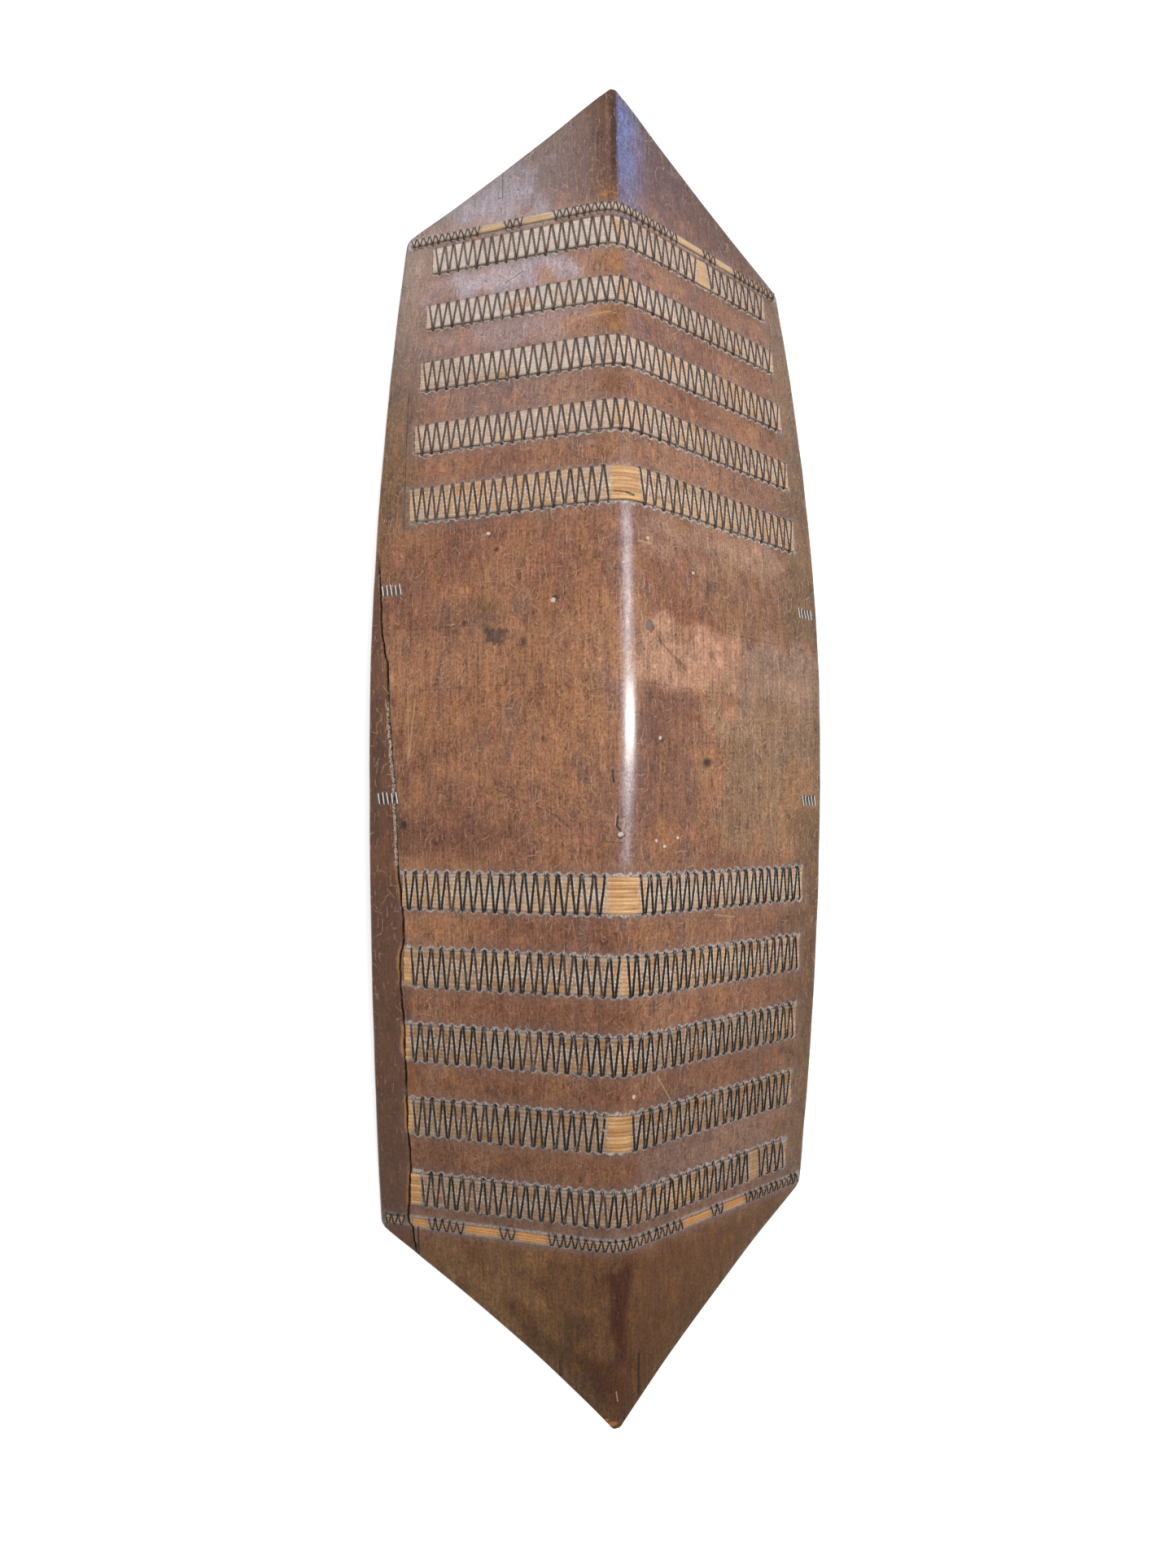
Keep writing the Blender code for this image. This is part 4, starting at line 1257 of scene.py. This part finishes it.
blank = fresh_slab("strip_blank", STRIP_COLUMNS, STRIP_ROWS)
wide_strips = {}
for number in range(1, 11):
    middle, wide, left, right = band_line(number)
    strip = own_copy(blank, "rattan_band_" + str(number))
    x = lay_strip(strip, STRIP_COLUMNS, STRIP_ROWS, RIBS, middle, wide, left, right, number)
    note(strip, "strip", np.full(len(x), float(number)))
    note_lacing(strip, x, zigzag_runs(number))
    smooth(strip, 50)
    wide_strips[number] = strip
bpy.data.objects.remove(blank)
print("wide strips:", len(wide_strips), "of", len(wide_strips[1].data.polygons), "faces")

# %% [markdown]
# ## The narrow strips
# The two narrow strips are made the same way with three ridges. The lower one is broken where the crack
# passes, so it is two pieces.

# %% Find the groups of stitches
def narrow_runs(middle):
    """The groups of stitches of the narrow strip at this y: left end, right end and count of legs."""
    inner = UPPER_GROUP_ENDS if middle > 0 else LOWER_GROUP_ENDS
    ends = (-narrow_reach(middle),) + inner + (narrow_reach(middle),)
    spans = [(ends[i], ends[i + 1]) for i in range(0, len(ends), 2)]
    return [(start, end, max(2, round((end - start) / (NARROW_PITCH / 2)))) for start, end in spans]


print("groups:", len(narrow_runs(UPPER_NARROW_Y)), "above and", len(narrow_runs(LOWER_NARROW_Y)), "below")

# %% Lay the narrow strips
NARROW_COLUMNS = 180
NARROW_RIBS = 3
NARROW_ROWS = NARROW_RIBS * RIB_ROWS
NARROW_SEED = 31
blank = fresh_slab("narrow_blank", NARROW_COLUMNS, NARROW_ROWS)
upper_reach = narrow_reach(UPPER_NARROW_Y)
lower_reach = narrow_reach(LOWER_NARROW_Y)
narrow_places = {
    "narrow_strip_upper": (UPPER_NARROW_Y, -upper_reach, upper_reach),
    "narrow_strip_lower_left": (LOWER_NARROW_Y, -lower_reach, LOWER_BREAK[0]),
    "narrow_strip_lower_right": (LOWER_NARROW_Y, LOWER_BREAK[1], lower_reach),
}
narrow_strips = {}
for number, (node, (middle, left, right)) in enumerate(narrow_places.items()):
    strip = own_copy(blank, "fine_" + node)
    seed = NARROW_SEED + number
    x = lay_strip(strip, NARROW_COLUMNS, NARROW_ROWS, NARROW_RIBS, middle, NARROW_WIDTH, left, right, seed)
    note(strip, "strip", np.full(len(x), 20.0 + number))
    note_lacing(strip, x, narrow_runs(middle))
    smooth(strip, 50)
    narrow_strips[node] = strip
bpy.data.objects.remove(blank)
print("narrow strips:", list(narrow_strips))

# %% [markdown]
# ## The rattan's finish
# Fresh rattan is straw coloured and shiny. Under the lacing it has aged to tan with grey dust in its grooves,
# browner on the lower bands, while the bare patches stay clean and orange. The upper bands are paler, partly
# from dust and partly from a painted sheen of the low light beyond the upper end, strongest on their left. The
# grooves between the ridges are darkened by grime and by painted shade. The ridge number across the strip
# gives every ridge its own tone.

# %% Colour the strips
rattan = Finish("rattan_finish")
rattan.wobble = (rattan.cloud((400, 400, 400), 2.0) - 0.5) * 0.9
rattan.shake(0.0008)
across = rattan.noted("across")
from_edge = rattan.noted("from_edge")
which = rattan.noted("strip")
bare = rattan.noted("bare")
rib = rattan.maths("FLOOR", across)
along = rattan.node("ShaderNodeCombineXYZ", sockets={0: rattan.x * 14, 1: rib * 7.3 + which * 3.1, 2: 0.0})
rib_tone = rattan.node("ShaderNodeTexNoise", sockets={"Vector": along, "Scale": 1.0, "Detail": 2.0})
fibre = rattan.cloud((70, 2200, 70), 7.0, 3.0, 0.7)
patchy = rattan.cloud((90, 90, 90), 8.0, 4.0, 0.7)
fine = rattan.cloud((520, 520, 520), 9.0, 3.0, 0.75)
broad = rattan.cloud((13, 13, 13), 12.0, 2.0, 0.5)
tan = rattan.blend(rattan.between(rib_tone, 0.38, 0.62), coloured(172, 128, 84), coloured(210, 166, 116))
# Dust and a painted sheen: the upper bands are paler, less so towards the right.
pale_dust_and_sheen = rattan.between(rattan.y + (broad - 0.5) * 0.5, 0.16, 0.36)
pale_dust_and_sheen = pale_dust_and_sheen * (1.0 - rattan.between(rattan.x, -0.06, 0.12) * 0.62)
tan = rattan.blend(pale_dust_and_sheen * 0.60, tan, coloured(234, 224, 214))
tan = rattan.blend(rattan.between(broad, 0.52, 0.66) * 0.34, tan, coloured(168, 118, 74))
tan = rattan.blend(rattan.between(rattan.y, -0.18, -0.30) * 0.64, tan, coloured(136, 96, 60))
nearest_below = rattan.between(rattan.y, -0.176, -0.168) * rattan.between(rattan.y, 0.0, -0.05)
tan = rattan.blend(nearest_below * 0.24, tan, coloured(226, 204, 184))
tan = rattan.blend(rattan.between(patchy, 0.46, 0.34) * 0.5, tan, coloured(190, 132, 72))
# The place and half sizes of each patch where the rattan is still golden.
GOLDEN_PLACES = (
    (0.003, 0.445, 0.008, 0.018), (0.089, 0.445, 0.010, 0.018), (0.005, 0.381, 0.012, 0.016),
    (-0.085, 0.378, 0.024, 0.008), (0.130, 0.317, 0.040, 0.014), (0.050, 0.320, 0.020, 0.010),
    (0.004, 0.252, 0.026, 0.016), (-0.110, 0.188, 0.085, 0.018), (0.150, 0.188, 0.030, 0.014),
    (0.000, -0.152, 0.030, 0.018), (-0.165, -0.152, 0.040, 0.018), (0.002, -0.218, 0.016, 0.018),
    (-0.182, -0.218, 0.010, 0.020), (0.000, -0.284, 0.012, 0.018), (0.165, -0.284, 0.020, 0.014),
    (-0.180, -0.284, 0.008, 0.020), (-0.176, -0.350, 0.008, 0.020), (-0.172, -0.416, 0.010, 0.020),
    (0.060, -0.416, 0.040, 0.012), (-0.060, -0.152, 0.030, 0.010),
)
golden = 0.0
for mark in GOLDEN_PLACES:
    golden = rattan.maths("MAXIMUM", rattan.spot(*mark, edge=0.3), golden)
tan = rattan.blend(golden * 0.80, tan, coloured(206, 148, 84))
print("rattan nodes:", len(rattan.tree.nodes))

# %% [markdown]
# Dust has gathered along the strand, where no hand rubs it away. Each place on a strip knows its share of the
# way across and the number of the leg it lies under, so the distance to the strand is a small sum.

# %% Dust, dirt, painted shade and clean patches on the strips
leg = 1.0 - rattan.maths("PINGPONG", rattan.noted("phase"), 1.0) * 2.0
beside = rattan.maths("ABSOLUTE", rattan.noted("sway") - leg) * 0.00225 + rattan.wobble * 0.0004
under_cord = 1.0 - bare
general = rattan.between(patchy, 0.44, 0.60) * under_cord
tan = rattan.blend(general * 0.36, tan, coloured(184, 172, 160))
near_leg = rattan.between(beside, 0.0024, 0.0012) * rattan.between(fine, 0.40, 0.56) * under_cord
fine_strip = rattan.between(which, 12.0, 18.0)
rubbed_low = rattan.between(rattan.y, -0.24, -0.34)
dusted = 0.84 - pale_dust_and_sheen * 0.46 - rubbed_low * 0.30
tan = rattan.blend(near_leg * dusted * (1.0 - fine_strip * 0.65), tan, coloured(238, 230, 220))
# Painted shadow: a dark edge right beside the strand's legs.
painted_strand_shadow = rattan.between(beside, 0.0013, 0.0009) * under_cord
tan = rattan.blend(painted_strand_shadow * 0.40, tan, coloured(88, 68, 54))
clean = rattan.blend(rattan.between(rib_tone, 0.4, 0.6), coloured(188, 134, 78), coloured(222, 174, 116))
clean = rattan.blend(rattan.between(rattan.y, -0.425, -0.440) * 0.7, clean, coloured(204, 138, 76))
clean = rattan.blend(rattan.between(rattan.y, 0.40, 0.46) * 0.6, clean, coloured(218, 186, 148))
dusty_gap = rattan.spot(0.139, -0.416, 0.012, 0.022, edge=0.6)
tan = rattan.blend(bare * (0.86 - dusty_gap * 0.60), tan, clean)
tan = rattan.dim(tan, 1.0 + (fibre - 0.5) * 0.9 + (fine - 0.5) * 0.9)
walls = rattan.between(from_edge, 0.0007, 0.0003)
groove = rattan.maths("ABSOLUTE", rattan.maths("FRACT", across) - 0.5)
# Darker grooves between the ridges: grime, and painted shade, which is stronger on the bare patches.
groove_grime_and_shade = rattan.between(groove, 0.36, 0.50) * (1.0 - walls)
tan = rattan.blend(groove_grime_and_shade * (0.20 + bare * 0.36), tan, coloured(104, 76, 54))
edge_dirt = rattan.between(from_edge + rattan.wobble * 0.001, 0.0020, 0.0004) * under_cord
tan = rattan.blend(edge_dirt * 0.50, tan, coloured(158, 144, 132))
thin_split = rattan.line((-0.0105, 0.1796), (0.0010, 0.1784), 0.0006)
split = rattan.maths("MAXIMUM", thin_split, rattan.line((0.0000, 0.1784), (0.0058, 0.1768), 0.0013))
tan = rattan.blend(split * 0.92, tan, coloured(24, 16, 12))
print("rattan nodes:", len(rattan.tree.nodes))

# %% Finish and place the strips
relief = (1.0 - groove * 2.0) * 0.5 + fibre * 0.5 - split * 1.5
dull = 0.40 + general * 0.2 + edge_dirt * 0.1
rattan_strip = rattan.done(tan, dull, relief, 0.0003, 1.0)
for number, strip in wide_strips.items():
    narrow_strips["strip_" + str(number)] = strip
for node, strip in narrow_strips.items():
    strip.data.materials.append(rattan_strip)
    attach(strip, "root")
    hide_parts(node)
print("strips placed:", len(narrow_strips))

# %% [markdown]
# ## The lacing
# One dark split-rattan strand runs to and fro over each strip and dives into the wood at every turn. A curve
# object with a round bevel could follow it, but it can't be flattened or carry a tone for each leg, so a
# flattened section is swept along the path point by point. The turns above the middle are pointed, those
# below it are rounder, and each turn is a little off its place, as hand work is.


# %% Sweep a strand along a path
STRAND_SIDES = 8


def sweep(name, run, width, thickness):
    """A flattened tube along a run of places, with directions out of the wood, bends and tones."""
    path, out, bends, tones = run
    ahead = np.gradient(path, axis=0)
    ahead /= np.linalg.norm(ahead, axis=1, keepdims=True)
    across = np.cross(out, ahead)
    across /= np.linalg.norm(across, axis=1, keepdims=True)
    up = np.cross(ahead, across)
    points, faces = [], []
    for ring in range(len(path)):
        taper = 0.6 if ring in (0, len(path) - 1) else 1.0
        for corner in range(STRAND_SIDES):
            turn = 2 * math.pi * (corner + 0.5) / STRAND_SIDES
            aside = across[ring] * width / 2 * math.cos(turn)
            upward = up[ring] * thickness / 2 * math.sin(turn)
            points.append(tuple(path[ring] + taper * (aside + upward)))
    for ring in range(len(path) - 1):
        here = ring * STRAND_SIDES
        there = here + STRAND_SIDES
        for corner in range(STRAND_SIDES):
            after = (corner + 1) % STRAND_SIDES
            faces.append((here + corner, here + after, there + after, there + corner))
    faces.append(tuple(range(STRAND_SIDES))[::-1])
    faces.append(tuple(range(len(points) - STRAND_SIDES, len(points))))
    mesh = bpy.data.meshes.new(name)
    mesh.from_pydata(points, [], faces)
    piece = bpy.data.objects.new(name, mesh)
    bpy.context.scene.collection.objects.link(piece)
    note(piece, "bend", np.repeat(bends, STRAND_SIDES))
    note(piece, "tone", np.repeat(tones, STRAND_SIDES))
    bpy.ops.object.select_all(action="DESELECT")
    piece.select_set(True)
    bpy.context.view_layer.objects.active = piece
    bpy.ops.object.mode_set(mode="EDIT")
    bpy.ops.mesh.select_all(action="SELECT")
    bpy.ops.mesh.normals_make_consistent(inside=False)
    bpy.ops.object.mode_set(mode="OBJECT")
    smooth(piece, 60)
    return piece


print("sweep ready")

# %% Work out the path of a zigzag
LEG_SHARES = (0.0, 0.035, 0.08, 0.2, 0.5, 0.8, 0.92, 0.965, 1.0)
TURN_SPREAD = 0.00028
REACH_SPREAD = 0.00025
# A strand's width, its thickness and how far its legs stand in from each turn.
UPPER_STRAND = (0.0016, 0.0010, 0.00065)
LOWER_STRAND = (0.0018, 0.0011, 0.00095)
LACING_SEED = 100


def zigzag(start, end, legs, middle, wide, overrun, on_strip, seed, pointed, thickness, close):
    """The strand's path over one run: places, directions out, bends and tones."""
    dice = np.random.default_rng(seed)
    turns = start + (end - start) * np.arange(legs + 1) / legs
    turns[1:-1] += dice.normal(0, TURN_SPREAD, legs - 1)
    reach = wide / 2 + overrun
    rows = [reach if k % 2 == 0 else -reach for k in range(legs + 1)]
    rows = np.array(rows) + dice.normal(0, REACH_SPREAD, legs + 1)
    places, bends, tones = [], [], []
    for leg in range(legs):
        tone = dice.uniform(0, 1)
        first_x, last_x = turns[leg] + close, turns[leg + 1] - close
        for share in LEG_SHARES:
            bent = share + 0.35 * (share * share * (3 - 2 * share) - share)
            v = rows[leg] + (rows[leg + 1] - rows[leg]) * share
            off = float(eased(abs(v), wide / 2 - 0.0002, wide / 2 + 0.0010))
            above = (1 - off) * (SEAT_GAP + on_strip + thickness / 2) + off * (thickness / 2 + 0.0001)
            places.append((first_x + (last_x - first_x) * bent, middle + v, above))
            bends.append(max(0.0, 1 - min(share, 1 - share) / 0.12))
            tones.append(tone)
        if leg < legs - 1:
            tip = rows[leg + 1]
            beyond = math.copysign(0.0003 if pointed else 0.0006, tip)
            places.append((turns[leg + 1], middle + tip + beyond, -0.0006 if pointed else 0.0002))
            bends.append(1.0)
            tones.append(tone)
    places = np.array(places)
    ends = (places[0] + (0, 0, -0.0012), places[-1] + (0, 0, -0.0012))
    places = np.vstack([ends[0], places, ends[1]])
    bends = [1.0] + bends + [1.0]
    tones = [tones[0]] + tones + [tones[-1]]
    z = skin(places[:, 0], places[:, 1], places[:, 2])
    path = np.stack([places[:, 0], places[:, 1], z], 1)
    return path, skin_normal(places[:, 0], places[:, 1]), bends, tones


lacings = {}
for number in range(1, 11):
    middle, wide, left, right = band_line(number)
    runs = zigzag_runs(number)
    pointed = number <= 5
    breadth, thickness, close = UPPER_STRAND if pointed else LOWER_STRAND
    for index, (start, end, legs) in enumerate(runs):
        node = "lacing_" + str(number) + ("" if len(runs) == 1 else ("_left", "_right")[index])
        seed = LACING_SEED + 2 * number + index
        run = zigzag(
            start, end, legs, middle, wide, LACING_OVERRUN, STRIP_THICKNESS, seed, pointed, thickness, close,
        )
        lacings[node] = sweep("strand_" + node, run, breadth, thickness)
print("lacings:", len(lacings), "one has", len(lacings["lacing_2"].data.polygons), "faces")

# %% [markdown]
# ## The stitches of the narrow strips
# The narrow strips are held by the same strand in short groups, with bare rattan between them. The same two
# helpers make them, with a finer pitch.

# %% Stitch the narrow strips
STITCH_STRAND = (0.0011, 0.0010, 0.0005)
STITCH_SEED = 200
breadth, thickness, close = STITCH_STRAND
for place, middle in (("upper", UPPER_NARROW_Y), ("lower", LOWER_NARROW_Y)):
    for index, (start, end, legs) in enumerate(narrow_runs(middle)):
        node = "stitches_" + place + "_" + str(index + 1)
        seed = STITCH_SEED + index
        run = zigzag(
            start, end, legs, middle, NARROW_WIDTH, LACING_OVERRUN, STRIP_THICKNESS,
            seed, False, thickness, close,
        )
        lacings[node] = sweep("strand_" + node, run, breadth, thickness)
print("strands:", len(lacings), "without a node:", [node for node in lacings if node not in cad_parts])

# %% [markdown]
# ## The side lashings
# Near each long edge, between the two groups of bands, sit two short lashings of a paler, dusty strand. They
# hold nothing now but are part of the old shield. Their legs are pale and dark by turns, so each leg gets a
# tone of 1 or 0 here in place of the chance one.

# %% Lash the sides
LASHING_STRAND = (0.0011, 0.0010, 0.0004)
LASHING_SEED = 300
PLACES_IN_LEG = len(LEG_SHARES) + 1
lashings = {}
breadth, thickness, close = LASHING_STRAND
for place, middle in SIDE_LASHING_Y.items():
    half = float(edge_half_width(np.float64(middle)))
    outer = half - SIDE_LASHING_INSET
    for hand, sign in (("left", -1), ("right", 1)):
        start, end = sorted((sign * outer, sign * (outer - SIDE_LASHING_LENGTH)))
        legs = max(2, round((end - start) / (SIDE_LASHING_PITCH / 2)))
        seed = LASHING_SEED + sign
        path, out, bends, _ = zigzag(
            start, end, legs, middle, SIDE_LASHING_HEIGHT, 0.0, 0.0, seed, False, thickness, close,
        )
        tones = [float((ring - 1) // PLACES_IN_LEG % 2 == 0) for ring in range(len(path))]
        node = "side_lashing_" + place + "_" + hand
        lashings[node] = sweep("strand_" + node, (path, out, bends, tones), breadth, thickness)
print("lashings:", list(lashings))

# %% [markdown]
# ## The strands' finish
# The lacing is nearly black and a little shiny on its legs, brown where it is rubbed, and grey at the turns
# with caught dust and painted glints, most of them right of the ridge on the lower bands. The side lashings
# are the same strand under much more dust.


# %% Colour the strands
# The colours of the clean strand, of its rubbed places, and of its dust, which on the lacing also stands for
# painted glints.
LACING_TONES = ((15, 11, 10), (84, 60, 46), (190, 182, 176))
LASHING_TONES = ((58, 46, 38), (98, 84, 72), (240, 235, 228))


def strand_finish(name, tints, dusty, by_leg):
    """A strand's finish; dusty is how much the dust covers, by_leg how much that differs between legs."""
    dark, brown, grey = [coloured(*tint) for tint in tints]
    strand = Finish(name)
    bend = strand.noted("bend")
    tone = strand.noted("tone")
    patch = strand.cloud((260, 120, 260), 3.0, 3.0, 0.6)
    fibre = strand.cloud((1500, 400, 1500), 5.0, 2.0, 0.6)
    browner = strand.between(strand.y, -0.05, 0.10) * 0.34
    colour = strand.blend(strand.between(patch + (tone - 0.5) * 0.4 + browner, 0.42, 0.80), dark, brown)
    # Dust and painted glints: more grey at the turns, and right of the ridge on the lower bands.
    right_dust_and_glints = strand.between(strand.x, -0.02, 0.08) * strand.between(strand.y, 0.0, -0.10) * 0.05
    dust_and_glints = strand.between(patch + bend * 0.20 + (tone - 0.5) * by_leg + dusty + right_dust_and_glints, 0.63, 0.86)
    colour = strand.blend(dust_and_glints * 0.8, colour, grey)
    rough = 0.30 + dust_and_glints * 0.40
    return strand.done(colour, rough, fibre, 0.0002, 0.8)


dark_lacing = strand_finish("dark_lacing_finish", LACING_TONES, 0.0, 0.0)
grey_lashing = strand_finish("grey_lashing_finish", LASHING_TONES, 0.14, 0.60)
finished = ((lacings, dark_lacing, "dark_rattan_lacing"), (lashings, grey_lashing, "grey_lashing"))
for pieces, finish, slot in finished:
    for node, piece in pieces.items():
        piece.data.materials.append(finish)
        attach(piece, "root")
        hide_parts(node)
print("strands finished:", len(lacings) + len(lashings))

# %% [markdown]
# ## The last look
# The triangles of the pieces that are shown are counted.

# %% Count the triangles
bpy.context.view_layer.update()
shown = [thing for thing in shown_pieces() if thing.type == "MESH"]
triangles = sum(len(face.vertices) - 2 for thing in shown for face in thing.data.polygons)
print("triangles shown:", triangles)
